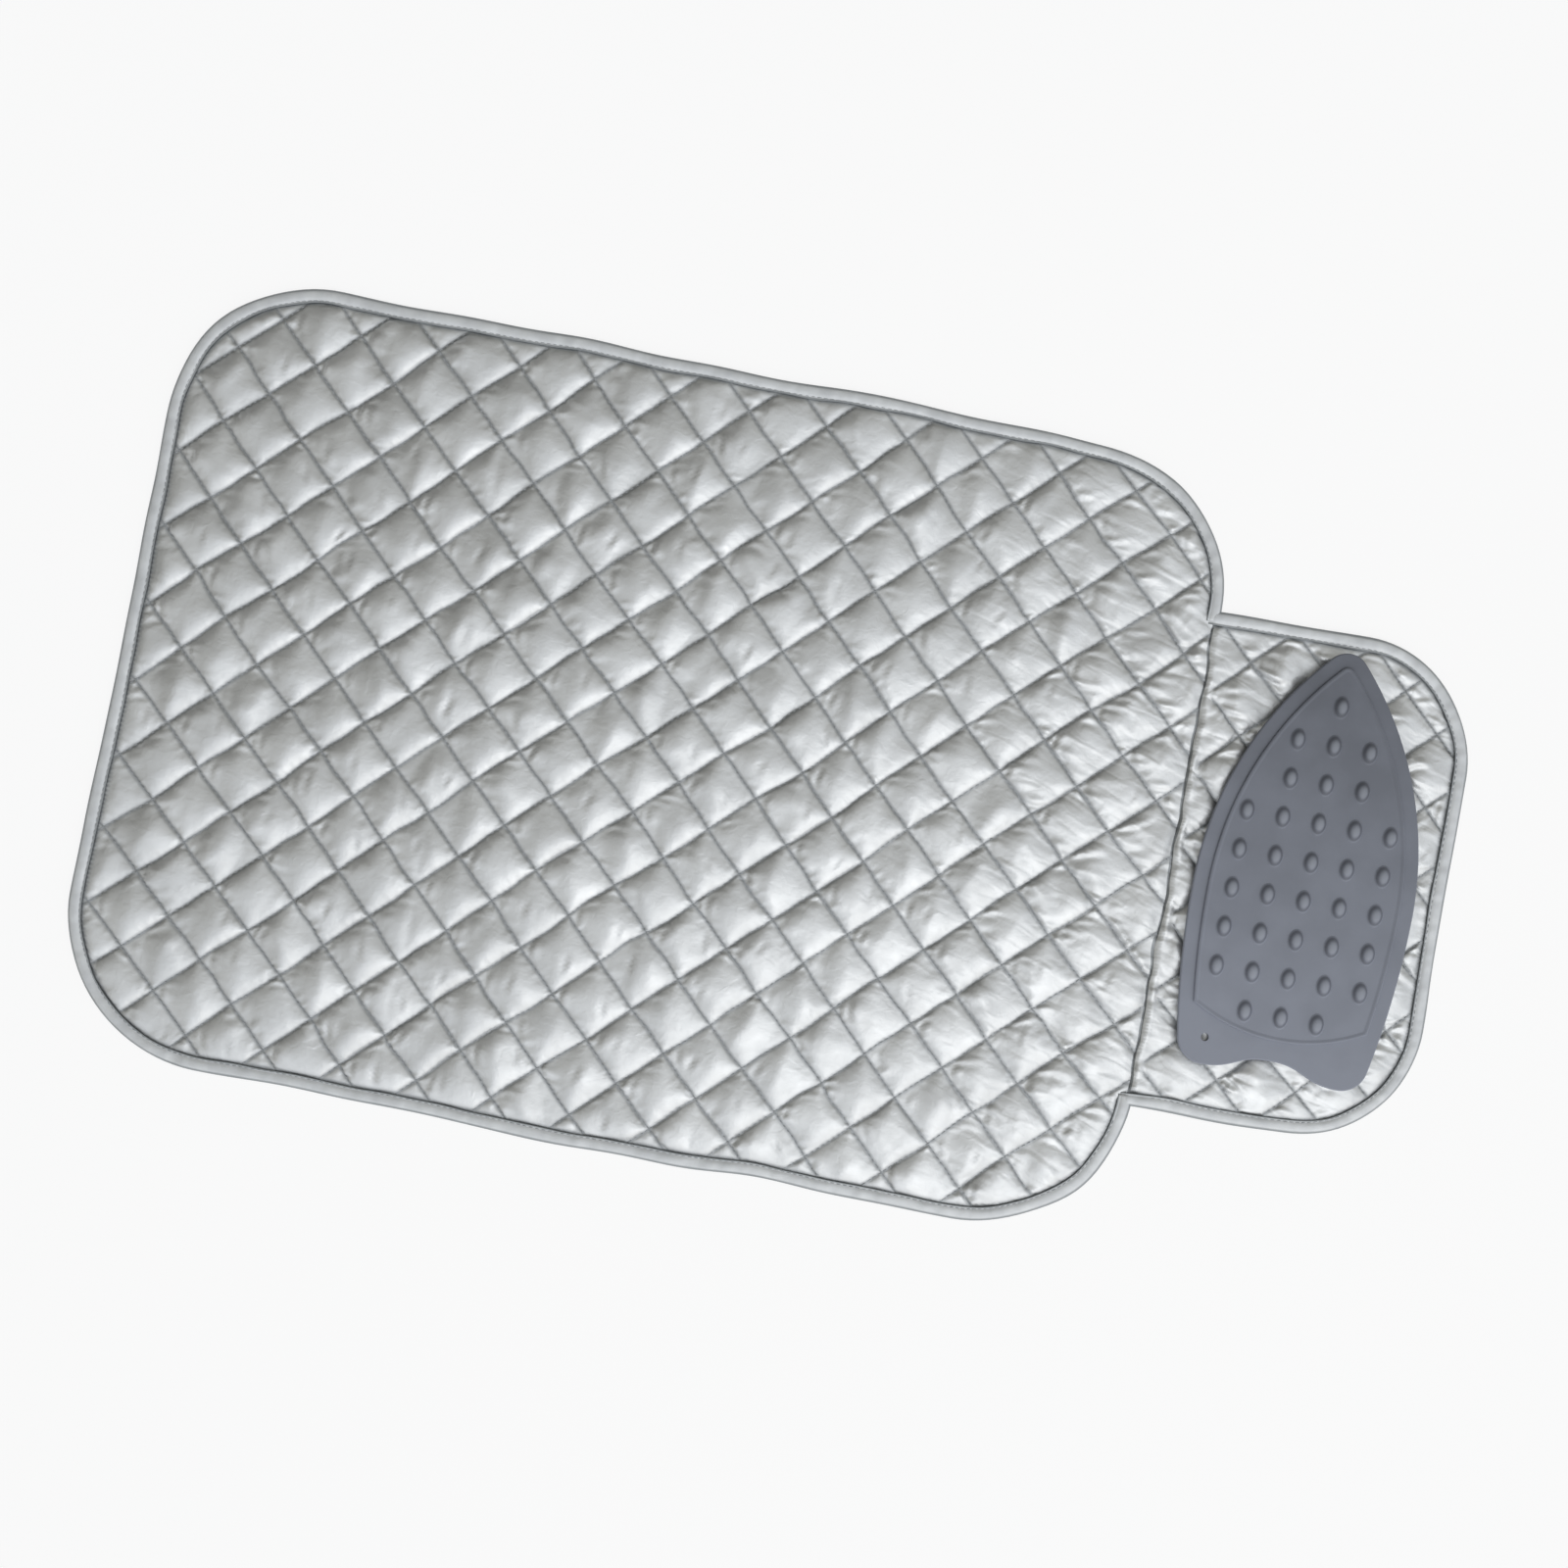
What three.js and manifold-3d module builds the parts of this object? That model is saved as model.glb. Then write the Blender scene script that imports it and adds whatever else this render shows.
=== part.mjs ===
// Quilted ironing pad with a side wing that carries a silicone iron rest. Millimetres, +Z up.
// The origin lies under the middle of the pad laid flat, and +X runs along it towards the wing.
import * as THREE from 'three';
import { mergeVertices } from 'three/addons/utils/BufferGeometryUtils.js';
import Module from 'manifold-3d';

// Outline of the main panel and of the wing sewn to its end, measured over the binding
const MAIN_LENGTH = 678;
const MAIN_WIDTH = 498;
const MAIN_CORNER_R = 95;
const WING_LENGTH = 172;          // how far the wing reaches past the main panel's end
const WING_WIDTH = 318;
const WING_CORNER_R = 76;
const CREASE_FROM_END = 212.5;    // storage crease, measured from the end without a wing

// Plies
const COVER_T = 0.5;              // silver-coated face cloth
const BACKING_T = 0.6;            // plain woven cloth beneath
const SQUEEZED_WADDING_T = 0.9;   // wadding where a seam flattens it
const PUFF_RISE = 5;              // crown of a whole diamond above its stitch lines
const PLY_GAP = 0.3;              // clearance between neighbouring plies

// Diamond quilting: two crossing sets of stitch lines
const DIAMOND_X = 49.7;           // diamond, corner to corner along the pad
const DIAMOND_Y = 47.8;           // diamond, corner to corner across the pad
const MAIN_CROSSING_X = 360.3;    // one stitch crossing, measured from the main panel's free end
const MAIN_CROSSING_Y = 33.7;
const WING_CROSSING_X = 0;        // one stitch crossing, measured from the main panel's wing end
const WING_CROSSING_Y = 10.9;

// Edge binding: a folded tape round the free edges
const BINDING_W = 9;
const BINDING_T = 0.8;
const BINDING_EDGE_BEVEL = 1.2;   // rounding of the tape's outer fold
const SEAM_ALLOWANCE = 0.5;       // from the tape's inner edge to the first puff
const EDGE_RAMP_W = 6;            // width over which the plies rise from the table into the tape

// Wing seam: the wing is sewn edge to edge to the main panel's end, where the binding stops
const SEAM_FROM_EDGE = 3;         // from the line of the main panel's bound edge to the seam
const SEAM_HEM_W = 3;             // flat strip of the wing beside the seam
const SEAM_GAP = 0.4;             // between the sewn edges, and round the ends of the binding
const CREASE_GAP = 0.3;           // between the two lengths that meet on the storage crease

// Iron rest: a soleplate-shaped silicone mat with a raised panel and oval nubs
const REST_LENGTH = 270;
const REST_WIDTH = 139;
const REST_T = 2.2;
const REST_SIDE_R = 225;          // long curve from the widest place to the tip
const REST_LOWER_R = 545;         // slight curve from the widest place to the heel
const REST_TIP_R = 14;
const REST_HEEL_R = 17;
const REST_HEEL_ARCH = 10;        // how far the heel edge curves in between its two ears
const REST_TIP_MARGIN = 11;       // from the wing's edge to the tip
const REST_FROM_SEAM = 81.5;      // from the main panel's end to the middle of the rest
const REST_HOLE_D = 5;
const PANEL_INSET = 9;
const PANEL_RISE = 1.2;
const PANEL_HEEL_R = 110;
const PANEL_HEEL_INSET = 23;      // from the rest's heel to the panel's heel curve, on the axis
const NUB_WIDTH = 10.4;
const NUB_LENGTH = 15;
const NUB_RISE = 3;
const NUB_PITCH_X = 22.8;
const NUB_PITCH_Y = 24.7;
const NUB_FROM_TIP = 34.5;          // from the tip to the first nub
const NUB_MARGIN = 1;             // least distance from a nub to the panel's edge

// Smoothness of the facets
const CORNER_STEPS = 9;
const CURVE_STEPS = 6;
const NUB_SIDES = 10;
const NUB_STEPS = 3;
const HOLE_SIDES = 12;
const WELD = 0.001;               // points nearer than this are one

// Places along the pad
const MAIN_X0 = -(MAIN_LENGTH + WING_LENGTH) / 2;
const MAIN_X1 = MAIN_X0 + MAIN_LENGTH;
const WING_X1 = MAIN_X1 + WING_LENGTH;
const CREASE_X = MAIN_X0 + CREASE_FROM_END;
const SEAM_X = MAIN_X1 - SEAM_FROM_EDGE;
const WING_FIELD_X = SEAM_X + SEAM_HEM_W;

// Levels above the table, at a stitch line in the middle of the pad
const BACKING_TOP = BACKING_T;
const WADDING_BOTTOM = BACKING_TOP + PLY_GAP;
const WADDING_TOP = WADDING_BOTTOM + SQUEEZED_WADDING_T;
const COVER_BOTTOM = WADDING_TOP + PLY_GAP;
const COVER_TOP = COVER_BOTTOM + COVER_T;
const CROWN_TOP = COVER_TOP + PUFF_RISE;

// The same plies are lifted at the edges, where the tape goes under them
const HEM_LIFT = BINDING_T + PLY_GAP;
const BINDING_H = COVER_TOP + 2 * HEM_LIFT;
const HEM_INSET = BINDING_T + 2 * PLY_GAP;
const FIELD_INSET = BINDING_W + SEAM_ALLOWANCE;

// Reach of the cutting shapes beyond the pad
const CUT_DEPTH = -20;
const CUT_OUTSET = 5;
const CUT_SIZE = 2 * (MAIN_LENGTH + WING_LENGTH + MAIN_WIDTH + WING_WIDTH);

const wasm = await Module();
wasm.setup();

// Turns a closed geometry into a solid that can be joined and cut
function toSolid(geometry) {
  const bare = new THREE.BufferGeometry();
  bare.setAttribute('position', geometry.getAttribute('position'));
  bare.setIndex(geometry.getIndex());
  const welded = mergeVertices(bare, WELD);
  const mesh = new wasm.Mesh({
    numProp: 3,
    vertProperties: new Float32Array(welded.getAttribute('position').array),
    triVerts: new Uint32Array(welded.getIndex().array),
  });
  return new wasm.Manifold(mesh);
}

function toGeometry(solid) {
  const mesh = solid.getMesh();
  const geometry = new THREE.BufferGeometry();
  geometry.setAttribute('position', new THREE.BufferAttribute(mesh.vertProperties, 3));
  geometry.setIndex(new THREE.BufferAttribute(mesh.triVerts, 1));
  geometry.computeVertexNormals();
  return geometry;
}

// Collects triangles whose corners are shared by place
class Facets {
  constructor() {
    this.positions = [];
    this.triangles = [];
    this.known = new Map();
  }

  corner(x, y, z) {
    const key = [x, y, z].map((value) => Math.round(value / WELD)).join();
    if (!this.known.has(key)) {
      this.known.set(key, this.positions.length / 3);
      this.positions.push(x, y, z);
    }
    return this.known.get(key);
  }

  triangle(a, b, c) {
    const [i, j, k] = [a, b, c].map((point) => this.corner(...point));
    if (i !== j && j !== k && k !== i) this.triangles.push(i, j, k);
  }

  fan(hub, loop) {
    loop.forEach((point, i) => this.triangle(hub, point, loop[(i + 1) % loop.length]));
  }

  band(lower, upper) {
    lower.forEach((point, i) => {
      const next = (i + 1) % lower.length;
      this.triangle(point, lower[next], upper[next]);
      this.triangle(point, upper[next], upper[i]);
    });
  }

  solid() {
    const geometry = new THREE.BufferGeometry();
    geometry.setAttribute('position', new THREE.Float32BufferAttribute(this.positions, 3));
    geometry.setIndex(this.triangles);
    return toSolid(geometry);
  }
}

// A rectangle with rounded corners, of which the left pair may be square
class Outline {
  constructor(x0, x1, width, radius, squareLeft = false) {
    Object.assign(this, { x0, x1, halfWidth: width / 2, radius, squareLeft });
  }

  // Points anticlockwise, moved in from the edge by inset
  points(inset) {
    const radius = Math.max(this.radius - inset, 10 * WELD);
    const high = this.halfWidth - inset - radius;
    const right = this.x1 - inset - radius;
    const left = this.x0 + inset;
    const corner = (x, y, quarter) => Array.from({ length: CORNER_STEPS + 1 }, (_, i) => {
      const turn = (quarter + i / CORNER_STEPS) * Math.PI / 2;
      return [x + radius * Math.cos(turn), y + radius * Math.sin(turn)];
    });
    const rightSide = [...corner(right, -high, -1), ...corner(right, high, 0)];
    if (this.squareLeft) return [...rightSide, [left, high + radius], [left, -high - radius]];
    return [...rightSide, ...corner(left + radius, high, 1), ...corner(left + radius, -high, 2)];
  }

  // Nearest point of the straight core that the corner arcs turn about
  core([x, y]) {
    const high = this.halfWidth - this.radius;
    const left = this.squareLeft ? this.x0 : this.x0 + this.radius;
    return [
      THREE.MathUtils.clamp(x, left, this.x1 - this.radius),
      THREE.MathUtils.clamp(y, -high, high),
    ];
  }

  insetOf(point) {
    const [x, y] = this.core(point);
    const fromEnds = Math.min(point[0] - this.x0, this.x1 - point[0]);
    const fromSides = this.halfWidth - Math.abs(point[1]);
    const fromArc = this.radius - Math.hypot(point[0] - x, point[1] - y);
    return Math.min(fromEnds, fromSides, fromArc);
  }

  // The way out from a point of the loop that lies in by inset
  wayOut(point, inset) {
    const [x, y] = this.core(point);
    const reach = Math.hypot(point[0] - x, point[1] - y) || 1;
    const onSquareEnd = this.squareLeft && point[0] - this.x0 < inset + WELD;
    if (!onSquareEnd) return [(point[0] - x) / reach, (point[1] - y) / reach];
    const inCorner = this.halfWidth - Math.abs(point[1]) < inset + WELD;
    return [-1, inCorner ? Math.sign(point[1]) : 0];
  }
}

const lifted = (loop, z) => loop.map(([x, y]) => [x, y, z]);
const middle = (loop) => [0, 1].map((axis) => loop.reduce((sum, p) => sum + p[axis], 0) / loop.length);

// A stack of loops closed by a cap at each end
function stack(loops) {
  const facets = new Facets();
  const [bottom, top] = [loops[0], loops[loops.length - 1]];
  for (let i = 1; i < loops.length; i += 1) facets.band(loops[i - 1], loops[i]);
  facets.fan([...middle(bottom), bottom[0][2]], [...bottom].reverse());
  facets.fan([...middle(top), top[0][2]], top);
  return facets.solid();
}

const prism = (loop, z0, z1) => stack([lifted(loop, z0), lifted(loop, z1)]);

function block(x0, x1, y0 = -CUT_SIZE, y1 = CUT_SIZE) {
  const box = new THREE.BoxGeometry(x1 - x0, y1 - y0, CUT_SIZE);
  box.translate((x0 + x1) / 2, (y0 + y1) / 2, 0);
  return toSolid(box);
}

// How far the plies are lifted off the table at a distance in from the edge
function liftAt(inset) {
  const share = (FIELD_INSET + EDGE_RAMP_W - inset) / EDGE_RAMP_W;
  return HEM_LIFT * THREE.MathUtils.clamp(share, 0, 1);
}

// Everything below the dished underside of a ply that lies at height z in the middle
function belowTray(outline, z) {
  const outer = outline.points(-CUT_OUTSET);
  return stack([
    lifted(outer, CUT_DEPTH),
    lifted(outer, z + HEM_LIFT),
    lifted(outline.points(FIELD_INSET), z + HEM_LIFT),
    lifted(outline.points(FIELD_INSET + EDGE_RAMP_W), z),
  ]);
}

// Keeps the side of a convex polygon where way . point >= limit
function clip(polygon, way, limit) {
  const side = (point) => way[0] * point[0] + way[1] * point[1] - limit;
  return polygon.flatMap((point, i) => {
    const next = polygon[(i + 1) % polygon.length];
    const [here, there] = [side(point), side(next)];
    const kept = here >= 0 ? [point] : [];
    if (here * there >= 0) return kept;
    const share = here / (here - there);
    return [...kept, point.map((value, axis) => value + share * (next[axis] - value))];
  });
}

function clipToLoop(polygon, loop) {
  return loop.reduce((rest, [x0, y0], i) => {
    const [x1, y1] = loop[(i + 1) % loop.length];
    const way = [y0 - y1, x1 - x0];
    return clip(rest, way, way[0] * x0 + way[1] * y0);
  }, polygon);
}

// Distance from a point to the nearest side of a polygon round it
function clearance(point, polygon) {
  const toSides = polygon.map(([x0, y0], i) => {
    const [x1, y1] = polygon[(i + 1) % polygon.length];
    const length = Math.hypot(x1 - x0, y1 - y0);
    const cross = (x1 - x0) * (point[1] - y0) - (y1 - y0) * (point[0] - x0);
    return length > WELD ? cross / length : Infinity;
  });
  return Math.min(...toSides);
}

// The diamonds of the quilting inside a loop, those that a crease crosses in two halves
function diamonds(loop, crossing, crease) {
  const [stepX, stepY] = [DIAMOND_X / 2, DIAMOND_Y / 2];
  const [xs, ys] = [loop.map((point) => point[0]), loop.map((point) => point[1])];
  const columns = [Math.min(...xs), Math.max(...xs)].map((x) => Math.round((x - crossing[0]) / stepX));
  const rows = [Math.min(...ys), Math.max(...ys)].map((y) => Math.round((y - crossing[1]) / stepY));
  const cells = [];
  for (let i = columns[0] - 1; i <= columns[1] + 1; i += 1) {
    for (let j = rows[0] - 1; j <= rows[1] + 1; j += 1) {
      if ((i + j) % 2 === 0) continue;
      const [x, y] = [crossing[0] + i * stepX, crossing[1] + j * stepY];
      const whole = [[x + stepX, y], [x, y + stepY], [x - stepX, y], [x, y - stepY]];
      const inside = clipToLoop(whole, loop);
      const halves = crease === undefined ? [inside] : [
        clip(inside, [1, 0], crease),
        clip(inside, [-1, 0], -crease),
      ];
      cells.push(...halves.filter((half) => half.length > 2));
    }
  }
  return cells;
}

// Everything below the quilted top of a ply whose stitch lines lie at height z
function belowQuilt(outline, z, crossing, crease) {
  const loop = outline.points(FIELD_INSET);
  const wholePuff = DIAMOND_X * DIAMOND_Y / Math.hypot(DIAMOND_X, DIAMOND_Y) / 2;
  const onEdge = (point) => clearance(point, loop) < WELD;
  const levelled = (point) => [...point, z + (onEdge(point) ? HEM_LIFT : liftAt(outline.insetOf(point)))];
  const facets = new Facets();
  const edge = new Map();
  for (const cell of diamonds(loop, crossing, crease)) {
    const hub = middle(cell);
    const fullness = Math.min(1, Math.max(0, clearance(hub, cell)) / wholePuff);
    const rim = cell.map(levelled);
    const rimLevel = rim.reduce((sum, point) => sum + point[2], 0) / rim.length;
    facets.fan([...hub, Math.min(rimLevel + PUFF_RISE * fullness, z + PUFF_RISE)], rim);
    for (const point of cell.filter(onEdge)) edge.set(facets.corner(...levelled(point)), point);
  }
  const [x, y] = middle(loop);
  const turn = (point) => Math.atan2(point[1] - y, point[0] - x);
  const inner = [...edge.values()].sort((a, b) => turn(a) - turn(b));
  const outer = inner.map((point) => {
    const way = outline.wayOut(point, FIELD_INSET);
    return point.map((value, axis) => value + way[axis] * (FIELD_INSET + CUT_OUTSET));
  });
  facets.band(lifted(outer, z + HEM_LIFT), lifted(inner, z + HEM_LIFT));
  facets.band(lifted(outer, CUT_DEPTH), lifted(outer, z + HEM_LIFT));
  facets.fan([x, y, CUT_DEPTH], lifted(outer, CUT_DEPTH).reverse());
  return facets.solid();
}

// Cover, wadding and backing of a quilted panel, out to their raw edges inside the binding
function plies(outline, crossing, crease) {
  const sheet = prism(outline.points(HEM_INSET), CUT_DEPTH / 2, CROWN_TOP + CUT_OUTSET);
  const quilt = (z) => belowQuilt(outline, z, crossing, crease);
  return {
    cover: quilt(COVER_TOP).subtract(quilt(COVER_BOTTOM)).intersect(sheet),
    wadding: quilt(WADDING_TOP).intersect(sheet).subtract(belowTray(outline, WADDING_BOTTOM)),
    backing: belowTray(outline, BACKING_TOP).intersect(sheet).subtract(belowTray(outline, 0)),
  };
}

// Binding tape folded round the edge of an outline
function binding(outline) {
  const [fold, inner] = [BINDING_EDGE_BEVEL, BINDING_EDGE_BEVEL / 2];
  const section = [
    [BINDING_W, 0], [fold, 0], [0, fold], [0, BINDING_H - fold], [fold, BINDING_H], [BINDING_W, BINDING_H],
    [BINDING_W, BINDING_H - BINDING_T], [BINDING_T + inner, BINDING_H - BINDING_T],
    [BINDING_T, BINDING_H - BINDING_T - inner], [BINDING_T, BINDING_T + inner],
    [BINDING_T + inner, BINDING_T], [BINDING_W, BINDING_T],
  ];
  const facets = new Facets();
  const loops = section.map(([inset, z]) => lifted(outline.points(inset), z));
  loops.forEach((loop, i) => facets.band(loop, loops[(i + 1) % loops.length]));
  return facets.solid();
}

// Right-hand meeting point of two circles given as [x, y, radius]
function meeting([x0, y0, r0], [x1, y1, r1]) {
  const apart = Math.hypot(x1 - x0, y1 - y0);
  const along = (r0 * r0 - r1 * r1 + apart * apart) / (2 * apart);
  const across = Math.sqrt(r0 * r0 - along * along);
  const [ux, uy] = [(x1 - x0) / apart, (y1 - y0) / apart];
  const foot = [x0 + ux * along, y0 + uy * along];
  const ends = [1, -1].map((sign) => [foot[0] - sign * uy * across, foot[1] + sign * ux * across]);
  return ends[0][0] > ends[1][0] ? ends[0] : ends[1];
}

const angleFrom = (hub, point) => Math.atan2(point[1] - hub[1], point[0] - hub[0]);

// Circles of the iron rest's outline, about its axis, with its heel ears on y = 0
const REST_HALF = REST_WIDTH / 2;
const restTip = [0, REST_LENGTH - REST_TIP_R, REST_TIP_R];
const sideRun = Math.sqrt((REST_SIDE_R - REST_TIP_R) ** 2 - (REST_SIDE_R - REST_HALF) ** 2);
const restSide = [REST_HALF - REST_SIDE_R, restTip[1] - sideRun, REST_SIDE_R];
const restLower = [REST_HALF - REST_LOWER_R, restSide[1], REST_LOWER_R];
const earRun = Math.sqrt((REST_LOWER_R - REST_HEEL_R) ** 2 - (restLower[1] - REST_HEEL_R) ** 2);
const restEar = [restLower[0] + earRun, REST_HEEL_R, REST_HEEL_R];
const panelHeel = [0, PANEL_HEEL_INSET + PANEL_HEEL_R, PANEL_HEEL_R];

// Draws the right-hand side up to the tip, then its mirror image down the left
function sidesTo(shape, inset, lowAngle) {
  const tipAngle = angleFrom(restSide, restTip);
  shape.absarc(restLower[0], restLower[1], REST_LOWER_R - inset, lowAngle, 0);
  shape.absarc(restSide[0], restSide[1], REST_SIDE_R - inset, 0, tipAngle);
  shape.absarc(restTip[0], restTip[1], REST_TIP_R - inset, tipAngle, Math.PI - tipAngle);
  shape.absarc(-restSide[0], restSide[1], REST_SIDE_R - inset, Math.PI - tipAngle, Math.PI);
  shape.absarc(-restLower[0], restLower[1], REST_LOWER_R - inset, Math.PI, Math.PI - lowAngle);
}

function restOutline() {
  const shape = new THREE.Shape();
  const earAngle = angleFrom(restLower, restEar);
  const [ease, down] = [restEar[0] / 2, -Math.PI / 2];
  shape.absarc(restEar[0], restEar[1], REST_HEEL_R, down, earAngle);
  sidesTo(shape, 0, earAngle);
  shape.absarc(-restEar[0], restEar[1], REST_HEEL_R, Math.PI - earAngle, Math.PI - down);
  shape.bezierCurveTo(-ease, 0, -ease, REST_HEEL_ARCH, 0, REST_HEEL_ARCH);
  shape.bezierCurveTo(ease, REST_HEEL_ARCH, ease, 0, restEar[0], 0);
  return shape;
}

function panelOutline() {
  const shape = new THREE.Shape();
  const corner = meeting([restLower[0], restLower[1], REST_LOWER_R - PANEL_INSET], panelHeel);
  const heelAngle = angleFrom(panelHeel, corner);
  shape.absarc(panelHeel[0], panelHeel[1], PANEL_HEEL_R, -Math.PI - heelAngle, heelAngle);
  sidesTo(shape, PANEL_INSET, angleFrom(restLower, corner));
  return shape;
}

// Places of the nubs: the rows and columns where both ends of the oval fit on the panel
function nubPlaces(outline) {
  const edge = outline.getPoints(CURVE_STEPS).map((point) => [point.x, point.y]);
  const columns = Math.ceil(REST_HALF / NUB_PITCH_X);
  const toEnd = (NUB_LENGTH - NUB_WIDTH) / 2;
  const fits = ([x, y]) => clearance([x, y], edge) > NUB_WIDTH / 2 + NUB_MARGIN;
  const places = [];
  for (let y = REST_LENGTH - NUB_FROM_TIP; y > 0; y -= NUB_PITCH_Y) {
    for (let column = -columns; column <= columns; column += 1) {
      const x = column * NUB_PITCH_X;
      if (fits([x, y + toEnd]) && fits([x, y - toEnd])) places.push([x, y]);
    }
  }
  return places;
}

function ironRest() {
  const [raisedPanel, raised] = [panelOutline(), REST_T + PANEL_RISE];
  const plate = (shape, depth) => {
    const flat = { depth, bevelEnabled: false, curveSegments: CURVE_STEPS };
    return toSolid(new THREE.ExtrudeGeometry(shape, flat));
  };
  const dome = Array.from({ length: NUB_STEPS + 1 }, (_, i) => {
    const rise = i / NUB_STEPS * Math.PI / 2;
    return new THREE.Vector2(Math.cos(rise), raised + NUB_RISE * Math.sin(rise));
  });
  const root = [new THREE.Vector2(0, REST_T), new THREE.Vector2(1, REST_T)];
  let rest = plate(restOutline(), REST_T).add(plate(raisedPanel, raised));
  for (const [x, y] of nubPlaces(raisedPanel)) {
    const nub = new THREE.LatheGeometry([...root, ...dome], NUB_SIDES);
    nub.rotateX(Math.PI / 2);
    nub.scale(NUB_WIDTH / 2, NUB_LENGTH / 2, 1);
    nub.translate(x, y, 0);
    rest = rest.add(toSolid(nub));
  }
  const hole = new THREE.CylinderGeometry(REST_HOLE_D / 2, REST_HOLE_D / 2, CUT_SIZE, HOLE_SIDES);
  hole.rotateX(Math.PI / 2);
  hole.translate(-restEar[0], restEar[1], 0);
  return rest.subtract(toSolid(hole));
}

// Finishes of the plies and of the iron rest
const FINISH = {
  cover: { color: 0xb9bcbc, roughness: 0.42, metalness: 0.7 },
  wadding: { color: 0xefece4, roughness: 1, metalness: 0 },
  backing: { color: 0xb4b4b0, roughness: 0.9, metalness: 0 },
  binding: { color: 0xc4c7c7, roughness: 0.55, metalness: 0.1 },
  silicone: { color: 0x787c85, roughness: 0.6, metalness: 0 },
};

function piece(name, solid, finish) {
  const material = new THREE.MeshStandardMaterial({ ...FINISH[finish], flatShading: true });
  const mesh = new THREE.Mesh(toGeometry(solid), material);
  mesh.name = name;
  return mesh;
}

const mapPlies = (layers, change) => Object.fromEntries(
  Object.entries(layers).map(([ply, solid]) => [ply, change(solid)]),
);

// One mesh for each ply of a panel
function panel(name, layers) {
  const group = new THREE.Group();
  for (const [ply, solid] of Object.entries(layers)) {
    const finish = ply.split('_')[0];
    group.add(piece(`${name}_${ply}`, solid, finish));
  }
  return group;
}

// Main panel: its plies end on the wing seam, its binding beside the wing
const mainEdge = new Outline(MAIN_X0, MAIN_X1, MAIN_WIDTH, MAIN_CORNER_R);
const wingMouth = WING_WIDTH / 2 + SEAM_GAP;
const pastSeam = block(SEAM_X - SEAM_GAP / 2, CUT_SIZE, -wingMouth, wingMouth);
const pastField = block(MAIN_X1 - FIELD_INSET, CUT_SIZE, -wingMouth, wingMouth);
const mainSheets = plies(mainEdge, [MAIN_X0 + MAIN_CROSSING_X, MAIN_CROSSING_Y], CREASE_X);
const mainLayers = mapPlies(mainSheets, (solid) => solid.subtract(pastSeam));
const mainTape = binding(mainEdge).subtract(pastField);

// Wing: the same plies between the seam and its own binding
const wingField = new Outline(WING_FIELD_X - FIELD_INSET, WING_X1, WING_WIDTH, WING_CORNER_R, true);
const wingEdge = new Outline(MAIN_X0, WING_X1, WING_WIDTH, WING_CORNER_R);
const wingSide = block(SEAM_X + SEAM_GAP / 2, CUT_SIZE);
const wingSheets = plies(wingField, [MAIN_X1 + WING_CROSSING_X, WING_CROSSING_Y]);
const wingSewn = { ...wingSheets, binding: binding(wingEdge) };
const wingLayers = mapPlies(wingSewn, (solid) => solid.intersect(wingSide));

// The main panel is in two lengths that meet on the storage crease
const beyondCrease = block(CREASE_X + CREASE_GAP / 2, CUT_SIZE);
const beforeCrease = block(-CUT_SIZE, CREASE_X - CREASE_GAP / 2);
const mainLength = mapPlies(mainLayers, (solid) => solid.intersect(beyondCrease));
mainLength.binding_rear = mainTape.intersect(block(CREASE_X + CREASE_GAP / 2, CUT_SIZE, 0));
mainLength.binding_front = mainTape.intersect(block(CREASE_X + CREASE_GAP / 2, CUT_SIZE, -CUT_SIZE, 0));
const foldLayers = { ...mainLayers, binding: mainTape };
const foldLength = mapPlies(foldLayers, (solid) => solid.intersect(beforeCrease));

const wing = panel('wing', wingLayers);
const rest = piece('iron_rest', ironRest(), 'silicone');
const restHeelY = WING_WIDTH / 2 - REST_TIP_MARGIN - REST_LENGTH;
rest.position.set(MAIN_X1 + REST_FROM_SEAM, restHeelY, CROWN_TOP + PLY_GAP);
wing.add(rest);

const pad = new THREE.Group();
pad.add(panel('main', mainLength));
pad.add(panel('fold_end', foldLength));
pad.add(wing);

export default pad;
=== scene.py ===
"""A quilted ironing pad with a silicone iron rest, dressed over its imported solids."""
import math

import bpy
import numpy as np
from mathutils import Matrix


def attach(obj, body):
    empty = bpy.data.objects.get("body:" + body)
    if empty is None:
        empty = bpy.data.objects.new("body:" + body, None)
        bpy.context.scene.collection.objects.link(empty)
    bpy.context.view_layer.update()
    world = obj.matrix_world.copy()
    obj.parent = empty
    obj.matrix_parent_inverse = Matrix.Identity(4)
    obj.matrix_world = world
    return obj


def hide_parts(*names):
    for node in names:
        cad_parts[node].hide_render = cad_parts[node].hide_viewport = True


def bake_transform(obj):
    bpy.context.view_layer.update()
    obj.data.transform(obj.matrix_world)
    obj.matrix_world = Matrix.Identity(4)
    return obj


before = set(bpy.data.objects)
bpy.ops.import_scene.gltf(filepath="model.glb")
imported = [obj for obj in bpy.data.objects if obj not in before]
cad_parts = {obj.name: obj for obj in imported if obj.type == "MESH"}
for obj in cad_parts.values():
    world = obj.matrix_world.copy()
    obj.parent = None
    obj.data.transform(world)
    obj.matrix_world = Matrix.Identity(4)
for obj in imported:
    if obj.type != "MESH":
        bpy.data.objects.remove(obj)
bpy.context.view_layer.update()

# Lengths below are millimetres, and a mesh gets them in metres
MM = 0.001

# Outline of the pad, about the middle of its box
MAIN_X0, MAIN_X1, MAIN_HALF_W, MAIN_CORNER_R = -425, 253, 249, 95
WING_X1, WING_HALF_W, WING_CORNER_R = 425, 159, 76
SEAM_X = 250
CREASE_X = -212.5
WING_TURN = math.radians(1.2)

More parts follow.
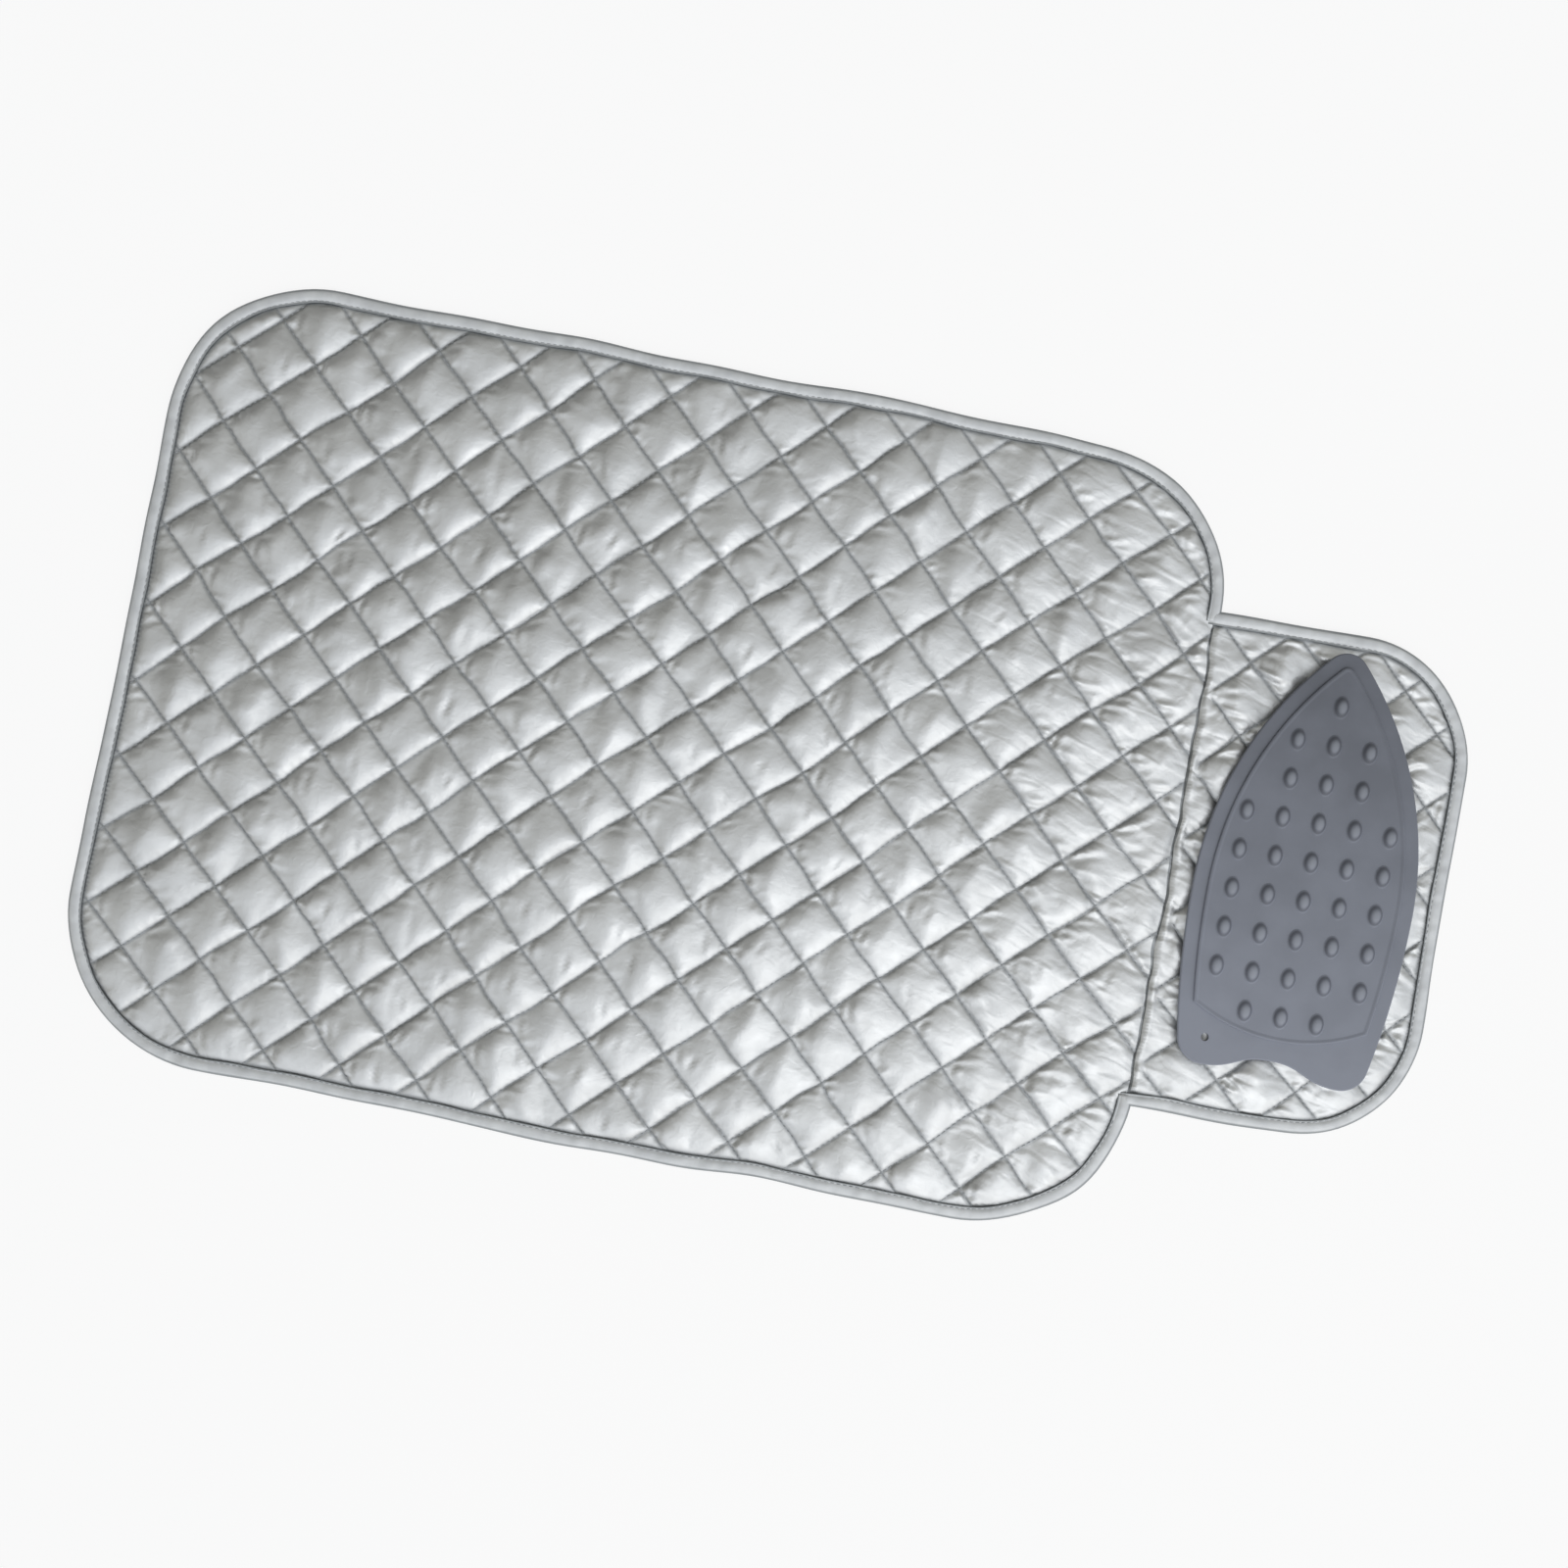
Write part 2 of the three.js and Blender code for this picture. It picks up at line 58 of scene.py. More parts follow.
# Quilting: the diamonds' two diagonals and one crossing of the stitch lines
DIAMOND_X, DIAMOND_Y = 49.7, 47.8
MAIN_CROSSING = (-64.7, 33.7)
WING_CROSSING = (253, 10.9)
DIAMOND_SIDE = math.hypot(DIAMOND_X, DIAMOND_Y) / 2
MOST_LINES = 30           # stitch lines to either side of that crossing, at most
SEAM_REACH = 14           # how far a trimmed edge is moved to the wing's seam
CELLS = 80, 80            # more diamonds than the pad has, for what differs from one to the next

# Lengths of cloth that bend over at the storage crease and at the wing's seam
CREASE_BEND, SEAM_BEND = 15, 12

# Levels above the table
BACKING_T = 0.5
LINE_TUCK = 0.4           # how far the backing is drawn up at its stitching
HEM_TUCK = 0.9            # and into the tape
HEM_ROOM = 0.4            # and further into it where the pad folds
VALLEY_Z = 2.6            # the cover at a stitch line
HEM_LIFT = 0.4            # its rise into the tape
HEM_RAMP = 6
SEAM_Z = 1.7              # the cover at the wing's seam
SEAM_DIP = 7              # reach of that dip to either side
FELT_UNDER = 0.85         # wadding under the cover at a stitch line
FELT_GAP = 0.1            # its clearance above the backing
FELT_ROOM = 1.5           # and what is added to that where the pad folds
FELT_THIN = 0.12          # its least thickness
CLEAR_OF_FELT = 0.5       # least height of a puff, above the wadding
PUFF_LIMIT = 20           # height that a puff can't pass
PUFF_GAIN = 0.74          # how steeply it starts beside a stitch line
PUFF_FRAMES = 20          # frames of the cloth simulation
SLACK_LEVELS = 20         # steps of slackness that the simulation tells apart
MOST_SLACK = 0.14         # spare cloth where a tuck gathers, as a share of its length
TOP_Z = 7.6               # the highest a puff may reach
COVER_HEM = 4.5           # the cover's raw edge, in from the tape's fold
FELT_HEM = 6              # and the wadding's
SEAM_ROLL = 7             # width of the unquilted roll beside the seam
SEAM_BEAD = 1.5           # and how far the turned cloth in it stands up
CREASE_PRESS = 0.3        # how far the storage crease flattens a puff
RIDGE, TUCK, GATHER = 2.1, 1.9, 1.2       # depths of the creases in the cover

# Binding tape
TAPE_W = 9
TAPE_T = 0.7
TAPE_STITCH = 7.7         # its stitching, in from the fold
TAPE_STITCH_Z = 4.05
TAPE_UNSEWN = 20          # from its ends to the first stitch

# Sewing thread, drawn a little thicker than it is, so that it shows
STITCH_PITCH = 4.0
STITCH_L = 3.1
THREAD_D = 0.6
THREAD_RISE = 0.2         # a stitch's middle above the cover
SEAM_GAP = 1.5            # from the main panel's last stitch to the wing's seam

# Iron rest, about its own axis, with its heel on y = 0
REST_AT = (334.5, -122, 7.9)
REST_LENGTH, REST_HALF_W, REST_T = 270, 69.5, 2.2
REST_SIDE_R, REST_LOWER_R, REST_TIP_R = 225, 545, 14
REST_HEEL_R, REST_HEEL_ARCH = 17, 10
REST_EDGE_R = 0.9
PANEL_INSET, PANEL_RISE = 9, 1.2
PANEL_HEEL_R, PANEL_HEEL_INSET = 110, 23
NUB_W, NUB_L, NUB_RISE = 10.4, 15, 3
NUB_PITCH_X, NUB_PITCH_Y, NUB_FROM_TIP = 22.8, 24.7, 34.5
NUB_ROWS = (1, 3, 3, 5, 5, 5, 5, 5, 3)
NUB_SINK = 0.03           # a nub's foot below the panel's face
NUB_SHOULDER = 2.7        # 2 is a round dome, and more makes its sides steeper
BEAD_RISE = 0.5           # the rounded bead round the panel's edge
BEAD_STEP = 0.5           # one of the steps by which it falls to the panel's face
HANG_HOLE_D = 5

# The two quilted panels. The plies' mesh steps are counted along one side of a diamond, the tape's step is
# a length, and the backing's cut is in metres
MAIN = dict(crossing=MAIN_CROSSING, middle=(MAIN_X0 + MAIN_X1) / 2, half_x=(MAIN_X1 - MAIN_X0) / 2,
            half_y=MAIN_HALF_W, corner=MAIN_CORNER_R, span=(MAIN_X0, SEAM_X), open_end=25,
            cover_steps=20, felt_steps=12, backing_steps=13, tape_step=1.8,
            cut=(0.489, 0.6705), cut_area=0.321)
WING = dict(crossing=WING_CROSSING, middle=SEAM_X, half_x=WING_X1 - SEAM_X,
            half_y=WING_HALF_W, corner=WING_CORNER_R, span=(SEAM_X, WING_X1), open_end=0,
            cover_steps=26, felt_steps=26, backing_steps=26, tape_step=0.9,
            cut=(0.309, 0.1705), cut_area=0.0505)


# Small helpers

def smooth(t):
    """Eases from 0 to 1 as t does."""
    t = np.clip(t, 0, 1)
    return t * t * (3 - 2 * t)


def ripple(x, y, wave, seed):
    """Smooth seeded noise from -1 to 1 or so, with waves of about that length."""
    rng = np.random.default_rng(seed)
    total = np.zeros(np.shape(x))
    for _ in range(9):
        turn, phase = rng.random(2) * 2 * math.pi
        pitch = wave * rng.uniform(0.7, 1.5)
        total += np.sin((x * math.cos(turn) + y * math.sin(turn)) * 2 * math.pi / pitch + phase)
    return total / 3


def inset(panel, x, y):
    """Distance in from the panel's bound edge; the seam between the panels has no binding."""
    clear = panel["open_end"] * smooth((WING_HALF_W - 2 - np.abs(y)) / 10) * smooth((x - 200) / 30)
    qx = np.abs(x - clear - panel["middle"]) - panel["half_x"] + panel["corner"]
    qy = np.abs(y) - panel["half_y"] + panel["corner"]
    outside = np.hypot(np.maximum(qx, 0), np.maximum(qy, 0))
    return panel["corner"] - outside - np.minimum(np.maximum(qx, qy), 0)


def lie(points):
    """How the sewn pad lies: its lines drawn a little out of true, and the wing sewn on at a slight turn."""
    x, y, z = points.T
    turned = WING_TURN * smooth((x - SEAM_X + 45) / 45)
    # The wing's lower side hangs back, its upper corner is drawn in and the panel's shoulder is pulled out
    on_wing = smooth((x - SEAM_X) / (WING_X1 - SEAM_X))
    low = smooth((60 - y) / 220)
    drawn_in = 2.2 * np.exp(-((x - 380) / 45) ** 2 - ((y - 150) / 50) ** 2)
    pulled_out = 4.5 * np.exp(-((x - 240) / 45) ** 2 - ((y - 200) / 42) ** 2)
    dx = 0.9 * ripple(x, y, 260, 3) + 0.6 * ripple(x, y, 80, 6) - turned * y + pulled_out
    dy = 1.0 * ripple(x, y, 230, 4) + 0.6 * ripple(x, y, 80, 7) + 5 * on_wing * low - 0.8 * drawn_in
    # Inside the tape the stitch lines wobble as well
    inside = np.maximum(inset(MAIN, x, y), inset(WING, x, y))
    wobble = 0.35 * smooth((inside - TAPE_W) / 25)
    dx += wobble * ripple(x, y, 24, 9)
    dy += wobble * ripple(x, y, 24, 10) + turned * np.maximum(x - SEAM_X, 0)
    return np.column_stack([x + dx, y + dy, z])


def read_points(piece):
    """Points of a piece, in millimetres."""
    co = np.empty(len(piece.data.vertices) * 3, np.float32)
    piece.data.vertices.foreach_get("co", co)
    return co.reshape(-1, 3).astype(float) / MM


def write_points(piece, points):
    """Moves the points of a piece to places in millimetres."""
    piece.data.vertices.foreach_set("co", (points * MM).astype(np.float32).ravel())
    piece.data.update()


def select_points(piece, chosen):
    """Selects the chosen points and nothing else."""
    mesh = piece.data
    mesh.polygons.foreach_set("select", np.zeros(len(mesh.polygons), bool))
    mesh.edges.foreach_set("select", np.zeros(len(mesh.edges), bool))
    mesh.vertices.foreach_set("select", chosen)


def edit(piece, *steps):
    """Runs edit-mode steps on one piece alone."""
    bpy.ops.object.select_all(action="DESELECT")
    piece.select_set(True)
    bpy.context.view_layer.objects.active = piece
    bpy.ops.object.mode_set(mode="EDIT")
    bpy.ops.mesh.select_mode(type="VERT")
    for step in steps:
        step()
    bpy.ops.object.mode_set(mode="OBJECT")


def apply_modifier(piece, kind, **settings):
    """Adds a modifier with its settings and applies it."""
    bpy.context.view_layer.objects.active = piece
    modifier = piece.modifiers.new(kind.title(), kind)
    for key, value in settings.items():
        setattr(modifier, key, value)
    bpy.ops.object.modifier_apply(modifier=modifier.name)


def new_grid(name, columns, rows):
    """A flat grid piece, and the column and row of each of its points."""
    bpy.ops.object.select_all(action="DESELECT")
    bpy.ops.mesh.primitive_grid_add(x_subdivisions=columns, y_subdivisions=rows, size=1, calc_uvs=False)
    piece = bpy.context.object
    piece.name = piece.data.name = name
    at = read_points(piece) * MM + 0.5
    return piece, np.rint(at[:, 0] * columns), np.rint(at[:, 1] * rows)


def edge_points(piece):
    """Which points lie on the open edge of a sheet."""
    mesh = piece.data
    of_loop = np.empty(len(mesh.loops), np.int32)
    mesh.loops.foreach_get("edge_index", of_loop)
    ends = np.empty(len(mesh.edges) * 2, np.int32)
    mesh.edges.foreach_get("vertices", ends)
    rim = np.bincount(of_loop, minlength=len(mesh.edges)) == 1
    found = np.zeros(len(mesh.vertices), bool)
    found[ends.reshape(-1, 2)[rim].ravel()] = True
    return found


def keep_number(piece, key, values):
    """Stores one number per point with the mesh."""
    piece.data.attributes.new(key, "FLOAT", "POINT").data.foreach_set("value", values.astype(np.float32))


def kept_number(piece, key):
    """Takes a stored number per point back off the mesh."""
    held = piece.data.attributes[key]
    values = np.empty(len(piece.data.vertices), np.float32)
    held.data.foreach_get("value", values)
    piece.data.attributes.remove(held)
    return values.astype(float)


def flat_map(piece, u, v):
    """Keeps the sheet's flat place, in metres, as the UV map that its weave follows."""
    layer = piece.data.uv_layers.new(name="cloth")
    corner = np.empty(len(piece.data.loops), np.int32)
    piece.data.loops.foreach_get("vertex_index", corner)
    layer.data.foreach_set("uv", (np.column_stack([u, v])[corner] * MM).astype(np.float32).ravel())


def finish_piece(piece, material, smoothed=True):
    """Gives a piece its one material, and smooth shading unless told otherwise."""
    piece.data.materials.clear()
    piece.data.materials.append(material)
    if smoothed:
        piece.data.polygons.foreach_set("use_smooth", np.ones(len(piece.data.polygons), bool))
    piece.data.update()


# Quilted sheets

def on_lattice(panel, x, y):
    """Lattice coordinates of a place: whole numbers are stitch lines."""
    a = (x - panel["crossing"][0]) / DIAMOND_X
    b = (y - panel["crossing"][1]) / DIAMOND_Y
    return a + b, a - b


def off_lattice(panel, u, v):
    """The place of those lattice coordinates."""
    x, y = panel["crossing"]
    return x + (u + v) * DIAMOND_X / 2, y + (u - v) * DIAMOND_Y / 2


def share(step, steps):
    """Place of a mesh step across a diamond, closer together beside the stitch lines."""
    t = 1 - 2 * (step % steps) / steps
    return step // steps + 0.5 - 0.5 * (0.55 * t + 0.45 * np.sin(math.pi / 2 * t))


def lattice_sheet(name, panel, steps, hem):
    """A flat sheet with its rows along the stitch lines, trimmed at hem inside the tape."""
    x0, x1 = panel["span"]
    corners = [on_lattice(panel, x, y) for x in (x0, x1) for y in (-panel["half_y"], panel["half_y"])]
    low = np.floor(np.min(corners, 0)).astype(int)
    count = np.ceil(np.max(corners, 0)).astype(int) - low
    sheet, column, row = new_grid(name, int(count[1]) * steps, int(count[0]) * steps)
    u, v = low[0] + share(row, steps), low[1] + share(column, steps)
    x, y = off_lattice(panel, u, v)
    write_points(sheet, np.column_stack([x, y, 0 * x]))
    keep_number(sheet, "along", u)
    keep_number(sheet, "across", v)
    select_points(sheet, (inset(panel, x, y) < hem) | (x < x0) | (x > x1))
    edit(sheet, lambda: bpy.ops.mesh.delete(type="VERT"),
         lambda: bpy.ops.mesh.select_all(action="SELECT"), bpy.ops.mesh.delete_loose)
    u, v = (kept_number(sheet, key) for key in ("along", "across"))
    x, y = off_lattice(panel, u, v)
    rim = edge_points(sheet)
    snap_edge(panel, x, y, rim, hem)
    write_points(sheet, np.column_stack([x, y, 0 * x]))
    return sheet, x, y, (u, v), rim


def snap_edge(panel, x, y, rim, hem):
    """Moves the stepped edge of a trimmed sheet out to its cut line."""
    by_seam = rim & (np.abs(x - SEAM_X) < np.minimum(SEAM_REACH, inset(panel, x, y) - hem + 0.5))
    for _ in range(3):
        gap = inset(panel, x, y) - hem
        gx = (inset(panel, x + 0.01, y) - inset(panel, x - 0.01, y)) / 0.02
        gy = (inset(panel, x, y + 0.01) - inset(panel, x, y - 0.01)) / 0.02
        to_hem = rim & ~by_seam
        x[to_hem] -= (gap * gx)[to_hem]
        y[to_hem] -= (gap * gy)[to_hem]
    x[by_seam] = SEAM_X


def valley(panel, x, y):
    """Height of the cover where it is stitched down."""
    lift = HEM_LIFT * smooth((TAPE_W + HEM_RAMP - inset(panel, x, y)) / HEM_RAMP)
    dip = (VALLEY_Z - SEAM_Z) * smooth(1 - np.abs(x - SEAM_X) / SEAM_DIP)
    return VALLEY_Z + lift - dip


def by_folds(x):
    """1 in the middle of each stretch that rolls over when the pad folds, and 0 away from it."""
    from_crease = x - CREASE_X + CREASE_BEND / 2
    from_seam = x - SEAM_X - SEAM_BEND / 2
    return np.exp(-(from_crease / 11) ** 2) + np.exp(-(from_seam / 9) ** 2)


def underside(panel, x, y, line):
    """Height of the backing: flat on the table, drawn up at its stitching and its hem."""
    tuck = HEM_TUCK + HEM_ROOM * by_folds(x)
    hem = tuck * smooth((TAPE_W + HEM_RAMP - inset(panel, x, y)) / HEM_RAMP)
    return np.maximum(hem, LINE_TUCK * np.exp(-(line / 3.5) ** 2))


def to_stitches(panel, x, u, v):
    """Millimetres to the nearest stitch line; the roll beside the wing's seam has none."""
    line = np.minimum(np.abs(u - np.rint(u)), np.abs(v - np.rint(v))) * DIAMOND_SIDE
    if panel is WING:
        line = line + 20 * smooth(1 - (x - SEAM_X) / SEAM_ROLL)
    return line


def quilt_cover(name, panel, seed):
    """The silver cover: stitched down along its lines and puffed up between them as cloth."""
    cover, x, y, (u, v), rim = lattice_sheet(name, panel, panel["cover_steps"], COVER_HEM)
    flat_map(cover, x, y)
    base, near = valley(panel, x, y), inset(panel, x, y)
    line = to_stitches(panel, x, u, v)
    held = (line < 0.05) | rim | (near < TAPE_W + 0.5)
    s, t = u - np.floor(u), v - np.floor(v)
    dome = (16 * s * (1 - s) * t * (1 - t)) ** 0.7 * smooth((near - TAPE_W + 1) / 10)
    start = base + np.where(held, 0, 0.5 * dome + 0.15 * ripple(x, y, 8, seed + 2))
    write_points(cover, np.column_stack([x, y, start]))
    puff_up(cover, held, fullness(u, v, seed))
    x, y, z = read_points(cover).T
    rise = np.maximum(z - base, -0.2)
    gain = PUFF_GAIN * (1.16 - 0.2 * smooth((x + 330) / 400))
    rise = np.where(rise > 0, PUFF_LIMIT * (1 - np.exp(-gain * rise / PUFF_LIMIT)), rise)
    # The pressed storage crease, then creases of the cloth, then what the wing's seam gathers
    crease = CREASE_X + 1.5 * ripple(y, y, 140, 5)
    rise *= 1 - CREASE_PRESS * (0.6 + 0.4 * ripple(y, y, 50, 8)) * np.exp(-((x - crease) / 3) ** 2)
    by_seam = smooth(np.abs(x - SEAM_X) / (22 if panel is WING else 6))
    rise += creases(x, u, v, seed + 3) * smooth((near - TAPE_W - 1) / 5) * by_seam
    beside = x - SEAM_X
    rise += 0.35 * ripple(y, 0.3 * x, 9, seed + 5) * smooth(np.abs(beside) / 2) * np.exp(-(beside / 8) ** 2)
    if panel is WING:
        rise += SEAM_BEAD * (1 + 0.3 * ripple(y, y, 21, seed + 6)) * np.exp(-((beside - 3) / 2.3) ** 2)
    rise = np.maximum(rise, CLEAR_OF_FELT * (1 - np.exp(-(line / 4) ** 2))) * smooth((near - TAPE_W) / 3)
    write_points(cover, lie(np.column_stack([x, y, np.minimum(base + rise, TOP_Z)])))
    # Painted shade for the cover's material: close to the stitch lines and along the tape's inner edge
    at_line, at_tape = np.exp(-(line / 1.3) ** 2), np.exp(-((near - TAPE_W) / 1.6) ** 2)
    keep_number(cover, "groove_shade", np.maximum(at_line, at_tape))
    return cover


def creases(x, u, v, seed):
    """Creases that the cloth has taken, diamond by diamond: ridges, tucks and small gathers."""
    rng = np.random.default_rng(seed)
    cell = np.floor(u).astype(int) % CELLS[0], np.floor(v).astype(int) % CELLS[1]
    s, t = u - np.floor(u), v - np.floor(v)
    across, up = (s + t - 1) * DIAMOND_X / 2, (s - t) * DIAMOND_Y / 2
    full = (16 * s * (1 - s) * t * (1 - t)) ** 0.7
    from_line = smooth(np.minimum(np.minimum(s, 1 - s), np.minimum(t, 1 - t)) * DIAMOND_SIDE / 3)
    right = smooth((x - 110) / 90)
    crowd = 0.48 + 0.37 * right
    total = 0 * x
    # Broad ridges across a diamond
    for _ in range(2):
        lean, place, depth = (rng.random(CELLS)[cell] for _ in range(3))
        lean = 1.2 * (lean - 0.5)
        off = across * np.cos(lean) + up * np.sin(lean) - 20 * (place - 0.5)
        total += RIDGE * (depth - 0.4) * full * (0.6 - np.sqrt((off / 7) ** 2 + 0.008))
    # Short tucks, at a diamond's left corner or in its middle
    for at_corner, chance in ((True, 0.6), (False, 0.4)):
        lean, place, level, depth = (rng.random(CELLS)[cell] for _ in range(4))
        lean = 0.9 * (lean - 0.5)
        past = across + DIAMOND_X / 2 - (5 + 7 * place if at_corner else 14 + 22 * place)
        beside = up - (0 if at_corner else 12 * (level - 0.5))
        off, along = past * np.cos(lean) + beside * np.sin(lean), beside * np.cos(lean) - past * np.sin(lean)
        tuck = np.exp(-(off / 1.6) ** 2 - (along / 4.5) ** 2)
        tuck -= 0.5 * np.exp(-((off - 2.6) / 1.8) ** 2 - (along / 4) ** 2)
        total -= np.where(depth < chance, TUCK * (0.4 + depth), 0) * tuck * from_line
    # Small gathers that run in from the two left-hand stitch lines
    for number in range(8):
        place, swing, length, width, chance, bow = (rng.random(CELLS)[cell] for _ in range(6))
        place = 0.05 + 0.85 * place ** 1.4
        past_x = across - (place - 1) * DIAMOND_X / 2
        past_y = up + (place if number % 3 else -place) * DIAMOND_Y / 2
        turn = 0.8 * (swing - 0.5) - 0.25
        length = 9 + 9 * length + 9 * right
        width = 1.2 + 0.8 * width + 0.4 * right
        along = past_x * np.cos(turn) + past_y * np.sin(turn)
        off = past_y * np.cos(turn) - past_x * np.sin(turn) + 0.04 * (bow - 0.5) * along ** 2
        fold = np.exp(-(off / width) ** 2) - 0.75 * np.exp(-((off + 1.6 * width) / width) ** 2)
        fades = smooth(along / 3) * smooth(1 - along / length) * from_line
        depth = GATHER * (0.5 + 0.5 * chance / crowd) * (1 + 0.5 * right)
        total += np.where(chance < crowd, depth, 0) * fades * fold
    return total


def fullness(u, v, seed):
    """Slack of the cloth, from 0 to 1: uneven from diamond to diamond, most where sewing pushed it."""
    rng = np.random.default_rng(seed)
    cell = np.floor(u).astype(int) % CELLS[0], np.floor(v).astype(int) % CELLS[1]
    total = 0.15 + 0.25 * rng.random(CELLS)[cell]
    for _ in range(2):
        at_s, at_t = (rng.beta(0.9, 2.4, CELLS)[cell] for _ in range(2))
        apart = np.hypot(u - np.floor(u) - at_s, v - np.floor(v) - at_t) * DIAMOND_SIDE
        total += rng.uniform(0, 0.8, CELLS)[cell] * np.exp(-(apart / 4.5) ** 2)
    return np.clip(total, 0, 1)


def puff_up(cover, held, slack):
    """Cloth over wadding: slack between the stitch lines, pushed up from below, then kept."""
    bpy.context.view_layer.objects.active = cover
    pins = cover.vertex_groups.new(name="stitched")
    pins.add(np.flatnonzero(held).tolist(), 1, "REPLACE")
    taut = cover.vertex_groups.new(name="taut")
    level = np.rint((1 - slack) * SLACK_LEVELS)
    for step in range(SLACK_LEVELS + 1):
        taut.add(np.flatnonzero(level == step).tolist(), step / SLACK_LEVELS, "REPLACE")
    cloth = cover.modifiers.new("puffing", "CLOTH")
    rules = cloth.settings
    rules.quality = 4
    rules.mass = 0.02
    rules.tension_stiffness = rules.compression_stiffness = 15
    rules.shear_stiffness = 8
    rules.bending_stiffness = 0.02
    rules.air_damping = 3
    rules.vertex_group_mass = "stitched"
    rules.vertex_group_shrink = "taut"
    rules.shrink_max, rules.shrink_min = 0, -MOST_SLACK
    rules.use_pressure = True
    rules.uniform_pressure_force = 6000
    rules.effector_weights.gravity = 0
    cloth.collision_settings.use_collision = False
    cloth.collision_settings.use_self_collision = False
    cloth.point_cache.frame_start, cloth.point_cache.frame_end = 1, PUFF_FRAMES
    for number in range(1, PUFF_FRAMES + 1):
        bpy.context.scene.frame_set(number)
    bpy.ops.object.modifier_apply(modifier=cloth.name)
    cover.vertex_groups.clear()


# Backing, wadding and tape

def quilt_backing(name, panel):
    """The underside: a thin woven sheet, drawn up a little along the stitch lines."""
    backing, x, y, (u, v), _ = lattice_sheet(name, panel, panel["backing_steps"], COVER_HEM)
    flat_map(backing, x, y)
    z = underside(panel, x, y, to_stitches(panel, x, u, v))
    write_points(backing, lie(np.column_stack([x, y, z])))
    apply_modifier(backing, "SOLIDIFY", thickness=BACKING_T * MM, offset=1)
    return backing


def quilt_wadding(name, panel):
    """The felt between the plies, nipped at the stitch lines and thinned out to its edges."""
    felt, x, y, (u, v), _ = lattice_sheet(name, panel, panel["felt_steps"], FELT_HEM)
    line = to_stitches(panel, x, u, v)
    room = smooth((inset(panel, x, y) - TAPE_W) / 10) * smooth((np.abs(x - SEAM_X) - 2) / 8)
    top = valley(panel, x, y) - FELT_UNDER + 1.1 * room * (1 - np.exp(-(line / 6) ** 2))
    gap = FELT_GAP + FELT_ROOM * by_folds(x)
    bottom = np.minimum(underside(panel, x, y, line) + BACKING_T + gap, top - FELT_THIN)
    write_points(felt, np.column_stack([x, y, top]))
    apply_modifier(felt, "SOLIDIFY", thickness=MM, offset=-1)
    points = np.column_stack([np.tile(x, 2), np.tile(y, 2), np.concatenate([top, bottom])])
    write_points(felt, lie(points))
    return felt


def edge_path(panel, ends, corner_angles):
    """Points round a panel's edge, with the way inwards and the run at each."""
    r = panel["corner"]
    hub_x, hub_y = panel["half_x"] - r, panel["half_y"] - r
    points = [np.array(ends[0], float)]
    for turn in corner_angles:
        mid = math.radians(turn + 45)
        hub = np.array([panel["middle"] + math.copysign(hub_x, math.cos(mid)),
                        math.copysign(hub_y, math.sin(mid))])
        for k in range(25):
            angle = math.radians(turn + 90 * k / 24)
            points.append(hub + r * np.array([math.cos(angle), math.sin(angle)]))
    points.append(np.array(ends[1], float))
    points = np.array(points)
    run = np.concatenate([[0], np.cumsum(np.hypot(*np.diff(points, axis=0).T))])
    at = np.linspace(0, run[-1], int(run[-1] / panel["tape_step"]))
    line = np.column_stack([np.interp(at, run, points[:, k]) for k in (0, 1)])
    way = np.gradient(line, axis=0)
    way /= np.hypot(*way.T)[:, None]
    return line, np.column_stack([-way[:, 1], way[:, 0]]), at


# Section of the tape, from its lower lip round the fold to its upper lip: inset and height
TAPE_SECTION = ((9.0, 0.1), (7.7, 0.3), (6.2, 0.1), (3.5, 0.0), (1.6, 0.1), (0.7, 0.5), (0.2, 1.2),
                (0.0, 2.1), (0.15, 2.9), (0.6, 3.65), (1.3, 4.25), (2.3, 4.7), (3.5, 4.85), (5.0, 4.8),
                (6.3, 4.6), (7.2, 4.2), (7.7, 3.95), (8.1, 4.1), (8.6, 4.25), (9.0, 4.1))


def binding_tape(name, path, seed, tuck):
    """Binding tape folded round an edge and sewn through; its ends are tucked into the seam."""
    line, inward, run = path
    tape, column, row = new_grid(name, len(run) - 1, len(TAPE_SECTION) - 1)
    k, j = column.astype(int), row.astype(int)
    section = np.array(TAPE_SECTION)
    across = np.concatenate([[0], np.cumsum(np.hypot(*np.diff(section, axis=0).T))])
    pucker = 0.16 * ripple(run, 0 * run, 9, seed) + 0.22 * ripple(run, 0 * run, 26, seed + 1)
    drift = 0.3 * ripple(run, 0 * run, 45, seed + 2)
    reach, drop = tuck
    ends = smooth(1 - np.minimum(run, run[-1] - run) / reach)
    s = section[j, 0] * (1 + drift[k] / TAPE_W)
    lip = np.sin(np.clip(section[j, 0] / TAPE_W, 0, 1) * math.pi)
    z = (section[j, 1] + np.where(section[j, 1] > 2, lip * pucker[k], 0)) * (1 - drop * ends[k])
    x, y = (line[k] + inward[k] * s[:, None]).T
    write_points(tape, lie(np.column_stack([x, y, z])))
    flat_map(tape, run[k], across[j])
    apply_modifier(tape, "SOLIDIFY", thickness=TAPE_T * MM, offset=-1)
    return tape


# Stitching

